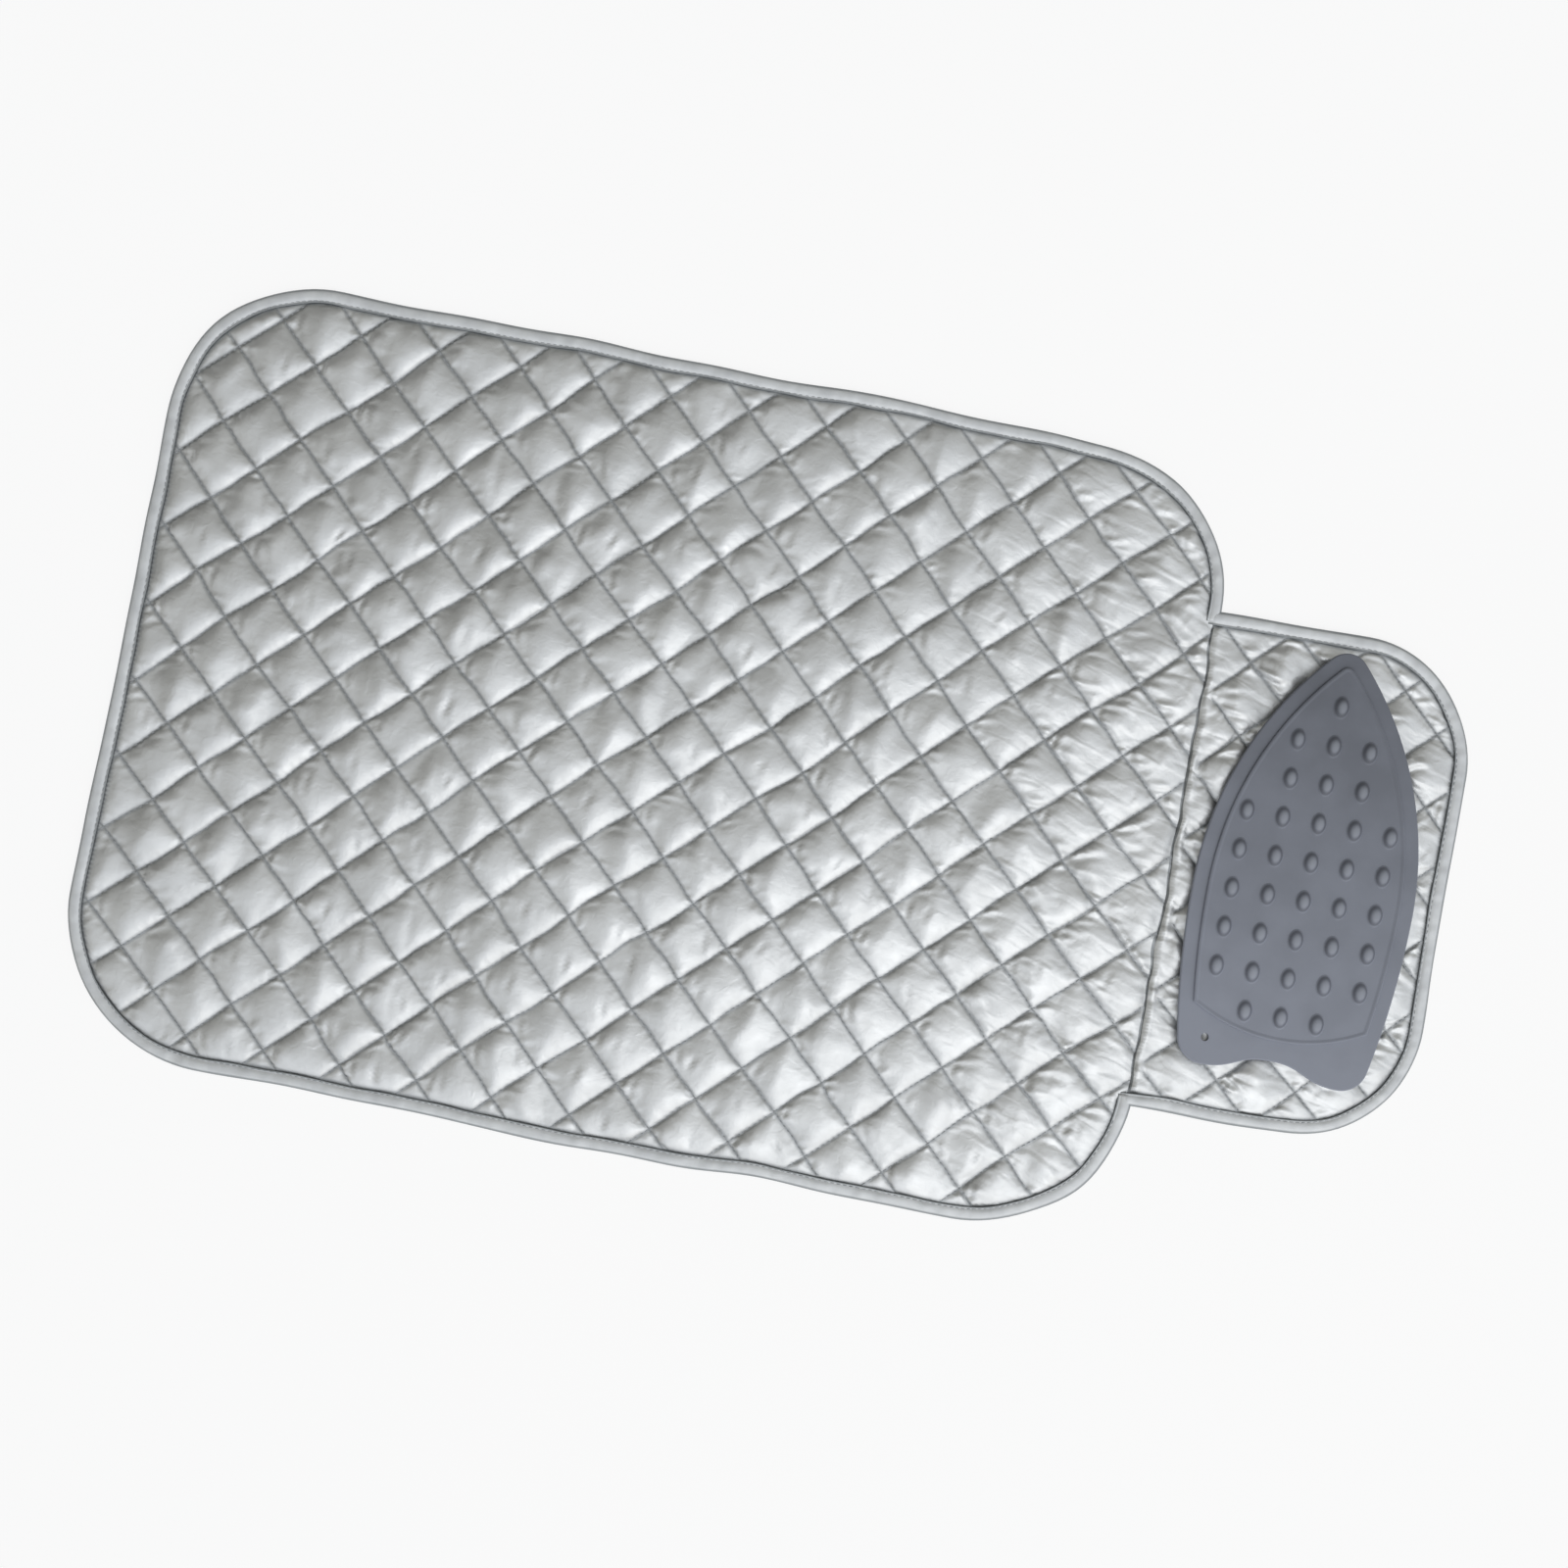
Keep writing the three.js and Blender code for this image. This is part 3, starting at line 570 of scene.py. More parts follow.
def stitches(name, centres, ways, seed):
    """One short stitch, copied along its lines."""
    bpy.ops.object.select_all(action="DESELECT")
    bpy.ops.mesh.primitive_ico_sphere_add(subdivisions=1, radius=1)
    first = bpy.context.object
    shape = read_points(first) * MM
    faces = np.array([p.vertices[:] for p in first.data.polygons])
    bpy.data.objects.remove(first)
    rng = np.random.default_rng(seed)
    count = len(centres)
    turn = np.arctan2(ways[:, 1], ways[:, 0]) + rng.normal(0, 0.06, count)
    half = STITCH_L / 2 * rng.uniform(0.9, 1.08, count)
    x = shape[:, 0][None] * half[:, None]
    y = shape[:, 1][None] * THREAD_D / 2 + 0 * x
    c, d = np.cos(turn)[:, None], np.sin(turn)[:, None]
    points = np.stack([centres[:, :1] + x * c - y * d, centres[:, 1:2] + x * d + y * c,
                       centres[:, 2:] + shape[:, 2][None] * THREAD_D / 2 + 0 * x], 2).reshape(-1, 3)
    every = (faces[None] + (np.arange(count) * len(shape))[:, None, None]).reshape(-1, 3)
    mesh = bpy.data.meshes.new(name)
    mesh.from_pydata((lie(points) * MM).tolist(), [], every.tolist())
    piece = bpy.data.objects.new(name, mesh)
    bpy.context.scene.collection.objects.link(piece)
    return piece


def quilting_places(panel, side):
    """Middle and way of each quilting stitch; side is 1 on the cover and -1 underneath."""
    centres, ways = [], []
    first, last = panel["span"]
    if panel is WING:
        first += SEAM_ROLL
    else:
        last -= SEAM_GAP
    for family in (0, 1):
        for number in range(-MOST_LINES, MOST_LINES + 1):
            at = np.arange(-MOST_LINES, MOST_LINES, STITCH_PITCH / DIAMOND_SIDE)
            fixed = np.full(len(at), float(number))
            x, y = off_lattice(panel, *((fixed, at) if family == 0 else (at, fixed)))
            keep = (inset(panel, x, y) > TAPE_W + 1) & (x > first) & (x < last)
            x, y = x[keep], y[keep]
            z = valley(panel, x, y) + THREAD_RISE if side > 0 else np.full(len(x), LINE_TUCK)
            centres.append(np.column_stack([x, y, z]))
            way = (DIAMOND_X, -DIAMOND_Y) if family == 0 else (DIAMOND_X, DIAMOND_Y)
            ways.append(np.tile(np.array(way) / math.hypot(*way), (len(x), 1)))
    return np.concatenate(centres), np.concatenate(ways)


def tape_places(path):
    """Middle and way of each stitch in the tape."""
    line, inward, run = path
    at = np.arange(TAPE_UNSEWN, run[-1] - TAPE_UNSEWN, STITCH_PITCH)
    x, y = (np.interp(at, run, (line + inward * TAPE_STITCH)[:, k]) for k in (0, 1))
    way = np.column_stack([np.interp(at, run, -inward[:, 1]), np.interp(at, run, inward[:, 0])])
    return np.column_stack([x, y, np.full(len(at), TAPE_STITCH_Z)]), way


# Iron rest

def arc(hub, radius, start, end, steps):
    """Points along an arc, from one angle to another."""
    angle = np.linspace(start, end, steps)
    return np.column_stack([hub[0] + radius * np.cos(angle), hub[1] + radius * np.sin(angle)])


def rest_circles():
    """Hubs of the rest's tip, sides, lower sides, heel ears and panel heel."""
    tip = np.array([0, REST_LENGTH - REST_TIP_R])
    run = math.sqrt((REST_SIDE_R - REST_TIP_R) ** 2 - (REST_SIDE_R - REST_HALF_W) ** 2)
    side = np.array([REST_HALF_W - REST_SIDE_R, tip[1] - run])
    lower = np.array([REST_HALF_W - REST_LOWER_R, side[1]])
    run = math.sqrt((REST_LOWER_R - REST_HEEL_R) ** 2 - (lower[1] - REST_HEEL_R) ** 2)
    ear = np.array([lower[0] + run, REST_HEEL_R])
    return tip, side, lower, ear, np.array([0, PANEL_HEEL_INSET + PANEL_HEEL_R])


def right_side(inset_by, low_angle):
    """The right-hand side from a lower angle up to the tip."""
    tip, side, lower, _, _ = rest_circles()
    tip_angle = math.atan2(*(tip - side)[::-1])
    return np.concatenate([arc(lower, REST_LOWER_R - inset_by, low_angle, 0, 30)[:-1],
                           arc(side, REST_SIDE_R - inset_by, 0, tip_angle, 40)[:-1],
                           arc(tip, REST_TIP_R - inset_by, tip_angle, math.pi / 2, 12)])


def mirrored(half):
    """A half outline and its mirror image, as one loop."""
    other = half[::-1] * (-1, 1)
    return np.concatenate([half, other[np.abs(other[:, 0]) > 1e-6]])


def rest_loop():
    """The rest's outline: an arched heel between two ears, and its sides up to the tip."""
    _, _, lower, ear, _ = rest_circles()
    ear_angle = math.atan2(*(ear - lower)[::-1])
    t = np.linspace(0, 1, 20)[:-1, None]
    ease = ear[0] / 2
    ends = [np.array(p) for p in ((0, REST_HEEL_ARCH), (ease, REST_HEEL_ARCH), (ease, 0), (ear[0], 0))]
    weights = (1 - t) ** 3, 3 * t * (1 - t) ** 2, 3 * t * t * (1 - t), t ** 3
    heel = sum(weight * end for weight, end in zip(weights, ends))
    return mirrored(np.concatenate([heel, arc(ear, REST_HEEL_R, -math.pi / 2, ear_angle, 16)[:-1],
                                    right_side(0, ear_angle)]))


def panel_loop():
    """Outline of the raised panel: a round heel, and sides inset from the rest's."""
    _, _, lower, _, heel = rest_circles()
    radius = REST_LOWER_R - PANEL_INSET
    apart = math.hypot(*(heel - lower))
    along = (radius ** 2 - PANEL_HEEL_R ** 2 + apart ** 2) / (2 * apart)
    ux, uy = (heel - lower) / apart
    across = math.sqrt(radius ** 2 - along ** 2)
    ends = [lower + along * np.array([ux, uy]) + sign * across * np.array([-uy, ux]) for sign in (1, -1)]
    corner = max(ends, key=lambda p: p[0])
    heel_angle = math.atan2(*(corner - heel)[::-1])
    return mirrored(np.concatenate([arc(heel, PANEL_HEEL_R, -math.pi / 2, heel_angle, 24)[:-1],
                                    right_side(PANEL_INSET, math.atan2(*(corner - lower)[::-1]))]))


def rounded_plate(name, loop, bottom, top, round_by):
    """A plate of that outline, made from a filled circle, with its upper edge rounded."""
    bpy.ops.object.select_all(action="DESELECT")
    bpy.ops.mesh.primitive_circle_add(vertices=len(loop), radius=1, fill_type="NGON")
    piece = bpy.context.object
    piece.name = piece.data.name = name
    at = read_points(piece)
    order = np.argsort(np.argsort(np.mod(np.arctan2(at[:, 1], at[:, 0]), 2 * math.pi)))
    write_points(piece, np.column_stack([loop[order], np.full(len(loop), bottom)]))
    up = {"value": (0, 0, (top - bottom) * MM)}
    edit(piece, lambda: bpy.ops.mesh.select_all(action="SELECT"),
         lambda: bpy.ops.mesh.extrude_region_move(TRANSFORM_OT_translate=up),
         lambda: bpy.ops.mesh.select_all(action="SELECT"),
         lambda: bpy.ops.mesh.normals_make_consistent(inside=False))
    select_points(piece, read_points(piece)[:, 2] > (bottom + top) / 2)
    edit(piece, lambda: bpy.ops.mesh.bevel(offset=round_by * MM, segments=4, affect="EDGES"))
    return piece


def nub_field(top):
    """All the oval nubs as one mesh: one dome with a rounded foot, copied in its rows."""
    bpy.ops.object.select_all(action="DESELECT")
    bpy.ops.mesh.primitive_uv_sphere_add(segments=36, ring_count=24, radius=MM)
    nub = bpy.context.object
    x, y, z = read_points(nub).T
    out = np.arccos(np.clip(np.abs(z), 0, 1)) / (math.pi / 2)
    height = np.maximum(1 - out ** NUB_SHOULDER, 0) ** 1.5
    level = np.where(z > -0.01, height * NUB_RISE - NUB_SINK, -4 * NUB_SINK)
    wide = out / np.maximum(np.hypot(x, y), 1e-6) / 2
    dome = np.column_stack([x * wide * NUB_W, y * wide * NUB_L, top + level])
    for row, count in enumerate(NUB_ROWS):
        for column in range(count):
            across = (column - (count - 1) / 2) * NUB_PITCH_X
            copy = nub.copy()
            copy.data = nub.data.copy()
            bpy.context.scene.collection.objects.link(copy)
            write_points(copy, dome + (across, REST_LENGTH - NUB_FROM_TIP - row * NUB_PITCH_Y, 0))
            copy.select_set(True)
    bpy.data.objects.remove(nub)
    bpy.context.view_layer.objects.active = copy
    bpy.ops.object.join()
    return copy


def iron_rest():
    """The silicone mat: plate, raised panel and oval nubs, moulded as one."""
    raised = REST_T + PANEL_RISE
    mat = rounded_plate("silicone_iron_rest", rest_loop(), 0, REST_T, REST_EDGE_R)
    ear = rest_circles()[3]
    bpy.ops.mesh.primitive_cylinder_add(vertices=48, radius=HANG_HOLE_D / 2 * MM, depth=20 * MM,
                                        location=(-ear[0] * MM, ear[1] * MM, 0))
    punch = bpy.context.object
    apply_modifier(mat, "BOOLEAN", operation="DIFFERENCE", object=punch, solver="EXACT")
    panel = rounded_plate("panel", panel_loop(), REST_T / 2, raised + BEAD_RISE, REST_EDGE_R)
    nubs = nub_field(raised)
    select_points(panel, read_points(panel)[:, 2] > raised + BEAD_RISE - 0.01)
    # The bead falls to the panel's face in four narrow insets
    edit(panel, lambda: bpy.ops.mesh.inset(thickness=BEAD_STEP * MM),
         lambda: bpy.ops.mesh.inset(thickness=BEAD_STEP * MM, depth=-0.3 * BEAD_RISE * MM),
         lambda: bpy.ops.mesh.inset(thickness=BEAD_STEP * MM, depth=-0.5 * BEAD_RISE * MM),
         lambda: bpy.ops.mesh.inset(thickness=BEAD_STEP * MM, depth=-0.2 * BEAD_RISE * MM))
    for joined in (panel, nubs):
        apply_modifier(mat, "BOOLEAN", operation="UNION", object=joined, solver="EXACT")
    for tool in (punch, panel, nubs):
        bpy.data.objects.remove(tool)
    write_points(mat, read_points(mat) + REST_AT)
    bpy.ops.object.select_all(action="DESELECT")
    mat.select_set(True)
    bpy.ops.object.shade_smooth_by_angle(angle=math.radians(35))
    # The large flat faces stay flat
    for face in mat.data.polygons:
        if face.area > 40 * MM ** 2:
            face.use_smooth = False
    return mat


# Materials

def linear(code):
    """sRGB hex to linear colour."""
    parts = [int(code[i:i + 2], 16) / 255 for i in (1, 3, 5)]
    return [p / 12.92 if p <= 0.04045 else ((p + 0.055) / 1.055) ** 2.4 for p in parts] + [1]


def add(tree, kind, inputs=(), stops=(), **settings):
    """Adds a node: an input is a value or the socket that feeds it, and a stop a ramp's place and colour."""
    made = tree.nodes.new("ShaderNode" + kind)
    for key, value in settings.items():
        setattr(made, key, value)
    for key, value in dict(inputs).items():
        if isinstance(value, bpy.types.NodeSocket):
            tree.links.new(value, made.inputs[key])
        else:
            made.inputs[key].default_value = value
    for place, code in stops[1:-1]:
        made.color_ramp.elements.new(place).color = linear(code)
    for end in (0, -1) if stops else ():
        made.color_ramp.elements[end].position = stops[end][0]
        made.color_ramp.elements[end].color = linear(stops[end][1])
    return made


WAVE_PERIOD = 0.314       # a wave texture's, at a scale of 1


def per_metre(size):
    """Noise scale for features of that many millimetres."""
    return 1 / (size * MM)


def new_material(name):
    """A new material, its node tree and its shader."""
    material = bpy.data.materials.new(name)
    material.use_nodes = True
    tree = material.node_tree
    return material, tree, tree.nodes["Principled BSDF"]


def aluminised_satin():
    """Polyester satin with a sprayed aluminium coat: a broad metallic sheen over faint patches."""
    material, tree, shader = new_material("aluminised_satin_cloth")
    place = add(tree, "UVMap", uv_map="cloth").outputs["UV"]
    patches = add(tree, "TexNoise", {"Vector": place, "Scale": per_metre(38), "Detail": 3})
    tint = add(tree, "ValToRGB", {"Fac": patches.outputs["Fac"]}, ((0.3, "#D9DADA"), (0.7, "#E7E8E8")))
    rub = add(tree, "TexNoise", {"Vector": place, "Scale": per_metre(9), "Detail": 4})
    gloss = add(tree, "MapRange", {"Value": rub.outputs["Fac"], "From Min": 0.3, "From Max": 0.7,
                                   "To Min": 0.42, "To Max": 0.52})
    tree.links.new(gloss.outputs["Result"], shader.inputs["Roughness"])
    shader.inputs["Metallic"].default_value = 0.85
    # Painted shade: greyer in the stitched grooves and along the tape's inner edge, and a painted shadow
    # line along the wing's seam, which sways a little
    groove_shade = add(tree, "Attribute", attribute_name="groove_shade").outputs["Fac"]
    along = add(tree, "SeparateXYZ", {"Vector": place}).outputs["X"]
    sway = add(tree, "TexNoise", {"Vector": place, "Scale": per_metre(22), "Detail": 1})
    swung = add(tree, "Math", {0: sway.outputs["Fac"], 1: 4 * MM, 2: along}, operation="MULTIPLY_ADD")
    seam = add(tree, "Math", {0: swung.outputs["Value"], 1: (SEAM_X + 2) * MM, 2: 0.9 * MM},
               operation="COMPARE")
    painted_shade = add(tree, "Math", {0: groove_shade, 1: seam.outputs["Value"]}, operation="MAXIMUM")
    shaded = add(tree, "Mix", {0: painted_shade.outputs["Value"], 6: tint.outputs["Color"], 7: linear("#999C9E")},
                 data_type="RGBA")
    tree.links.new(shaded.outputs[2], shader.inputs["Base Color"])
    # Crinkles of the stiff coat, then folds, then streaks where the cloth is drawn towards the seam
    crinkle = add(tree, "TexNoise", {"Vector": place, "Scale": per_metre(5), "Detail": 3, "Distortion": 0.8})
    soft = add(tree, "Bump", {"Height": crinkle.outputs["Fac"], "Strength": 0.4, "Distance": 0.6 * MM})
    folds = add(tree, "TexNoise", {"Vector": place, "Scale": per_metre(16), "Detail": 1, "Distortion": 0.6},
                noise_type="RIDGED_MULTIFRACTAL")
    creased = add(tree, "Bump", {"Height": folds.outputs["Fac"], "Strength": 0.35, "Distance": 0.7 * MM,
                                 "Normal": soft.outputs["Normal"]})
    drawn = add(tree, "Mapping", {"Vector": place, "Rotation": (0, 0, math.radians(-17)),
                                  "Scale": (24 * MM, 7 * MM, 1)}, vector_type="TEXTURE")
    streaks = add(tree, "TexNoise", {"Vector": drawn.outputs["Vector"], "Scale": 1, "Detail": 0.4,
                                     "Distortion": 0.7})
    pull = add(tree, "MapRange", {"Value": along, "From Min": 0.06, "From Max": 0.22,
                                  "To Min": 0.08, "To Max": 0.45})
    pulled = add(tree, "Bump", {"Height": streaks.outputs["Fac"], "Strength": pull.outputs["Result"],
                                "Distance": 2.2 * MM, "Normal": creased.outputs["Normal"]})
    tree.links.new(pulled.outputs["Normal"], shader.inputs["Normal"])
    return material


def tape_satin():
    """Satin tape: a soft sheen on its flat, and painted shade greying its fold and its sewn-down lip."""
    material, tree, shader = new_material("satin_binding_tape")
    place = add(tree, "UVMap", uv_map="cloth").outputs["UV"]
    rub = add(tree, "TexNoise", {"Vector": place, "Scale": per_metre(12), "Detail": 4})
    tint = add(tree, "ValToRGB", {"Fac": rub.outputs["Fac"]}, ((0.3, "#D0D2D4"), (0.7, "#E2E4E5")))
    across = add(tree, "SeparateXYZ", {"Vector": place}).outputs["Y"]
    # Painted shade: grey along the fold where the tape turns down, and along the lip beside the cover
    fold = add(tree, "MapRange", {"Value": across, "From Min": 12.4 * MM, "From Max": 14 * MM,
                                  "To Min": 1, "To Max": 0}, interpolation_type="SMOOTHSTEP")
    lip = add(tree, "MapRange", {"Value": across, "From Min": 19.2 * MM, "From Max": 20.6 * MM},
              interpolation_type="SMOOTHSTEP")
    painted_shading = add(tree, "Math", {0: fold.outputs["Result"], 1: lip.outputs["Result"]}, operation="MAXIMUM")
    shaded = add(tree, "Mix", {0: painted_shading.outputs["Value"], 6: tint.outputs["Color"], 7: linear("#969A9C")},
                 data_type="RGBA")
    tree.links.new(shaded.outputs[2], shader.inputs["Base Color"])
    shader.inputs["Roughness"].default_value = 0.5
    shader.inputs["Metallic"].default_value = 0.35
    return material


def woven_backing():
    """Plain woven polyester: a dull grey with a dot of light on each thread crossing.

    The threads are drawn 1.1 mm apart, about three times as coarse as they are, so that they show.
    """
    material, tree, shader = new_material("plain_woven_polyester")
    place = add(tree, "UVMap", uv_map="cloth").outputs["UV"]
    bands = {"Vector": place, "Scale": WAVE_PERIOD * per_metre(1.1)}
    warp = add(tree, "TexWave", bands, bands_direction="X")
    weft = add(tree, "TexWave", bands, bands_direction="Y")
    weave = add(tree, "Math", {0: warp.outputs["Fac"], 1: weft.outputs["Fac"]}, operation="MULTIPLY")
    tint = add(tree, "ValToRGB", {"Fac": weave.outputs["Value"]}, ((0, "#A3A4A1"), (1, "#BFC0BC")))
    tree.links.new(tint.outputs["Color"], shader.inputs["Base Color"])
    raised = add(tree, "Bump", {"Height": weave.outputs["Value"], "Strength": 0.4, "Distance": 0.15 * MM})
    tree.links.new(raised.outputs["Normal"], shader.inputs["Normal"])
    shader.inputs["Roughness"].default_value = 0.85
    return material


def polyester_felt():
    """Needled polyester felt: a matt and faintly clouded off-white."""
    material, tree, shader = new_material("needled_polyester_wadding")
    place = add(tree, "TexCoord").outputs["Object"]
    fluff = add(tree, "TexNoise", {"Vector": place, "Scale": per_metre(4), "Detail": 6})
    tint = add(tree, "ValToRGB", {"Fac": fluff.outputs["Fac"]}, ((0, "#E4E2DC"), (1, "#F4F2EC")))
    tree.links.new(tint.outputs["Color"], shader.inputs["Base Color"])
    shader.inputs["Roughness"].default_value = 1
    return material


def moulded_silicone():
    """Silicone rubber: a matt slate grey with faint patches, made paler towards the heel by painted light,
    with painted shade round the foot of each nub and a painted highlight on its top.

    Its moulded grit is drawn 0.9 mm wide, several times as coarse as it is, so that it shows.
    """
    material, tree, shader = new_material("moulded_silicone_rubber")
    place = add(tree, "TexCoord").outputs["Object"]
    at = add(tree, "SeparateXYZ", {"Vector": place}).outputs
    # Painted light makes the slate grey paler towards the heel, and faint patches of tone lie over it
    bloom = add(tree, "TexNoise", {"Vector": place, "Scale": per_metre(30), "Detail": 5})
    painted_heel_light = add(tree, "MapRange", {"Value": at["Y"], "From Min": 0.14, "From Max": -0.11,
                                   "To Min": 0, "To Max": 0.9})
    patchy = add(tree, "MapRange", {"Value": bloom.outputs["Fac"], "From Min": 0.35, "From Max": 0.65,
                                    "To Min": 0, "To Max": 0.2})
    heel_light_and_patches = add(tree, "Math", {0: painted_heel_light.outputs["Result"], 1: patchy.outputs["Result"]}, operation="ADD")
    tint = add(tree, "ValToRGB", {"Fac": heel_light_and_patches.outputs["Value"]}, ((0, "#676A72"), (1, "#9296A2")))
    # Painted shade in a ring round the foot of each nub and on the panel's bead, and a painted highlight on
    # the nub tops
    panel_top = (REST_AT[2] + REST_T + PANEL_RISE) * MM
    height = add(tree, "MapRange", {"Value": at["Z"], "From Min": panel_top,
                                    "From Max": panel_top + NUB_RISE * MM})
    foot = add(tree, "ValToRGB", {"Fac": height.outputs["Result"]},
               ((0.12, "#000000"), (0.3, "#BCBCBC"), (0.5, "#BCBCBC"), (0.85, "#000000")))
    dull = add(tree, "Mix", {0: foot.outputs["Color"], 6: tint.outputs["Color"], 7: linear("#45474E")},
               data_type="RGBA")
    top_highlight = add(tree, "MapRange", {"Value": height.outputs["Result"], "From Min": 0.65, "From Max": 1,
                                    "To Min": 0, "To Max": 0.5})
    painted_shading = add(tree, "Mix", {0: top_highlight.outputs["Result"], 6: dull.outputs[2], 7: linear("#A3A7B0")},
               data_type="RGBA")
    tree.links.new(painted_shading.outputs[2], shader.inputs["Base Color"])
    grit = add(tree, "TexNoise", {"Vector": place, "Scale": per_metre(0.9), "Detail": 2})
    spark = add(tree, "Bump", {"Height": grit.outputs["Fac"], "Strength": 0.15, "Distance": 0.08 * MM})
    tree.links.new(spark.outputs["Normal"], shader.inputs["Normal"])
    shader.inputs["Roughness"].default_value = 0.42
    shader.inputs["IOR"].default_value = 1.41
    return material


def spun_thread():
    """Spun polyester thread: a soft grey, a shade darker than the cloth, uneven along its fibres."""
    material, tree, shader = new_material("spun_polyester_thread")
    place = add(tree, "TexCoord").outputs["Object"]
    fibre = add(tree, "TexNoise", {"Vector": place, "Scale": per_metre(2), "Detail": 3})
    tint = add(tree, "ValToRGB", {"Fac": fibre.outputs["Fac"]}, ((0, "#9DA0A3"), (1, "#B6B9BB")))
    tree.links.new(tint.outputs["Color"], shader.inputs["Base Color"])
    shader.inputs["Roughness"].default_value = 0.6
    return material


silver_cloth = aluminised_satin()
tape_cloth = tape_satin()
backing_cloth = woven_backing()
felt = polyester_felt()
silicone = moulded_silicone()
thread = spun_thread()

# Assembly

# The main panel's tape ends just past its corners, and the wing's runs on under the seam
TAPE_END_Y = MAIN_HALF_W - MAIN_CORNER_R - 2
TAPE_END_X = SEAM_X - 5
main_edge = edge_path(MAIN, ((MAIN_X1, TAPE_END_Y), (MAIN_X1, -TAPE_END_Y)), (0, 90, 180, 270))
wing_edge = edge_path(WING, ((TAPE_END_X, -WING_HALF_W), (TAPE_END_X, WING_HALF_W)), (270, 0))
MAIN_TUCK, WING_TUCK = (9, 0.15), (5, 0.3)            # reach and drop of each tape's ends


def sewn_panel(key, panel, path, seed, tuck, nodes, bindings):
    """One quilted panel with its tape and sewing, in place of the imported parts that stand for them."""
    cover = quilt_cover(f"{key}_silver_cover", panel, seed)
    finish_piece(cover, silver_cloth)
    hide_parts(*(f"{node}_cover" for node in nodes))
    wadding = quilt_wadding(f"{key}_felt_wadding", panel)
    finish_piece(wadding, felt)
    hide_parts(*(f"{node}_wadding" for node in nodes))
    backing = quilt_backing(f"{key}_woven_backing", panel)
    finish_piece(backing, backing_cloth)
    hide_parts(*(f"{node}_backing" for node in nodes))
    tape = binding_tape(f"{key}_binding_tape", path, seed, tuck)
    finish_piece(tape, tape_cloth)
    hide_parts(*bindings)
    sewing = (("quilting_thread", quilting_places(panel, 1), "silver_cloth"),
              ("underside_thread", quilting_places(panel, -1), "backing_cloth"),
              ("binding_thread", tape_places(path), "binding_tape"))
    pieces = [cover, wadding, backing, tape]
    for number, (name, places, slot) in enumerate(sewing):
        rows = stitches(f"{key}_{name}", *places, seed + number)
        finish_piece(rows, thread)
        pieces.append(rows)
    for piece in pieces:
        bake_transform(piece)


sewn_panel("main", MAIN, main_edge, 31, MAIN_TUCK, ("main", "fold_end"),
           ("main_binding_rear", "main_binding_front", "fold_end_binding"))
sewn_panel("wing", WING, wing_edge, 47, WING_TUCK, ("wing",), ("wing_binding",))

rest = iron_rest()
finish_piece(rest, silicone, smoothed=False)
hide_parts("iron_rest")
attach(rest, "wing")

# Floor: a pale sheet, in metres, that is swept up far out like a studio's
FLOOR_W, FLOOR_STEPS, SWEEP_FROM, SWEEP_RUN, SWEEP_RISE = 24, 80, 2.5, 8, 1.3
floor, column, row = new_grid("floor", FLOOR_STEPS, FLOOR_STEPS)
floor_x, floor_y = ((at / FLOOR_STEPS - 0.5) * FLOOR_W for at in (column, row))
sweep = SWEEP_RISE * smooth((np.hypot(floor_x, floor_y) - SWEEP_FROM) / SWEEP_RUN)
write_points(floor, np.column_stack([floor_x, floor_y, sweep]) / MM)
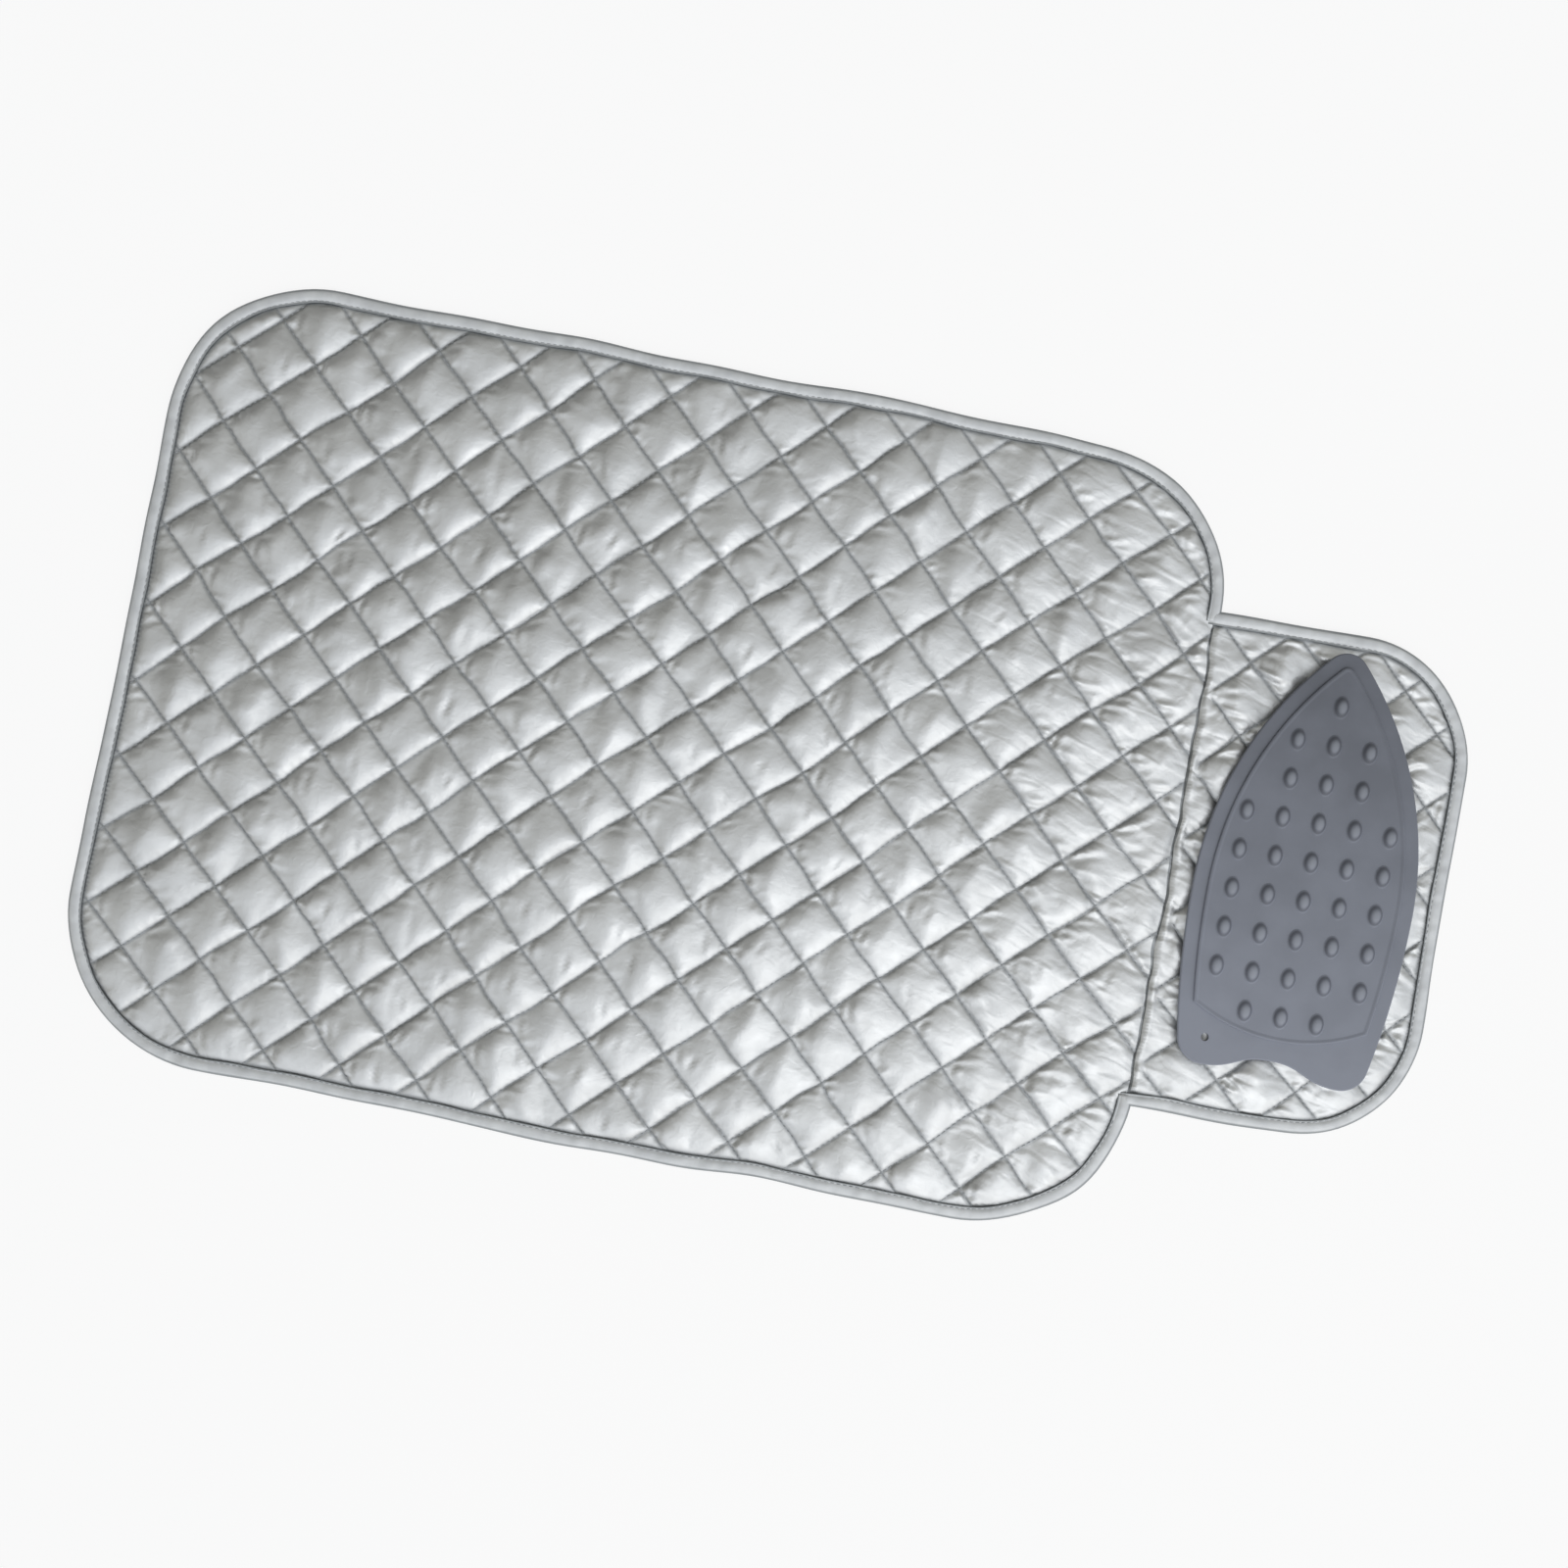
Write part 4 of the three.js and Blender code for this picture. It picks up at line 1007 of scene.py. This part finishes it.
# The camera and what is glossy see it mostly as plain white, and it keeps the pad's shadow
PLAIN_SHARE = 0.85
floor_paint, floor_tree, floor_shader = new_material("pale_floor")
floor_shader.inputs["Base Color"].default_value = linear("#F7F7F7")
floor_shader.inputs["Roughness"].default_value = 0.9
seen = add(floor_tree, "LightPath").outputs
straight = add(floor_tree, "Math", {0: seen["Is Camera Ray"], 1: seen["Is Glossy Ray"]}, operation="ADD")
plain = add(floor_tree, "Math", {0: straight.outputs["Value"], 1: seen["Is Transmission Ray"]},
            operation="ADD")
paper = add(floor_tree, "Math", {0: plain.outputs["Value"], 1: PLAIN_SHARE}, operation="MULTIPLY")
white = add(floor_tree, "Emission", {"Color": (1, 1, 1, 1), "Strength": 1})
blend_in = add(floor_tree, "MixShader", {0: paper.outputs["Value"], 1: floor_shader.outputs["BSDF"],
                                         2: white.outputs["Emission"]})
floor_tree.links.new(blend_in.outputs["Shader"], floor_tree.nodes["Material Output"].inputs["Surface"])
floor.data.materials.append(floor_paint)
floor.data.polygons.foreach_set("use_smooth", np.ones(len(floor.data.polygons), bool))

# Tones of the studio from its dark side to its window side
SKY = ((0, "#403E38"), (0.25, "#71706A"), (0.469, "#A8A8A4"), (0.656, "#B9BBBD"), (0.812, "#D7DCE2"),
       (1, "#FFFFFF"))
world = bpy.data.worlds.new("studio")
bpy.context.scene.world = world
world.use_nodes = True
sky = world.node_tree
facing = add(sky, "VectorMath", {0: add(sky, "TexCoord").outputs["Generated"], 1: (0.52, -0.707, 0.48)},
             operation="DOT_PRODUCT")
span = add(sky, "MapRange", {"Value": facing.outputs["Value"], "From Min": -0.6, "From Max": 1})
shade = add(sky, "ValToRGB", {"Fac": span.outputs["Result"]}, SKY)
sky.links.new(shade.outputs["Color"], sky.nodes["Background"].inputs["Color"])
sky.nodes["Background"].inputs["Strength"].default_value = 1.3

# Soft lamp on the window's side
bpy.ops.object.light_add(type="AREA", location=(0.5, -0.5, 1.1))
lamp = bpy.context.object
lamp.name = "softbox"
lamp.data.size = 0.8
lamp.data.energy = 1.5
lamp.rotation_euler = (math.radians(25), math.radians(22), 0)

# Camera straight above, turned as the photograph is
camera = bpy.data.objects.new("camera", bpy.data.cameras.new("camera"))
bpy.context.scene.collection.objects.link(camera)
camera.location = (0.0020, -0.0008, 1.0615)
camera.rotation_euler = (0, 0, math.radians(11.19))
camera.data.lens, camera.data.sensor_width = 38.6, 36
bpy.context.scene.camera = camera
bpy.context.scene.view_settings.view_transform = "Standard"
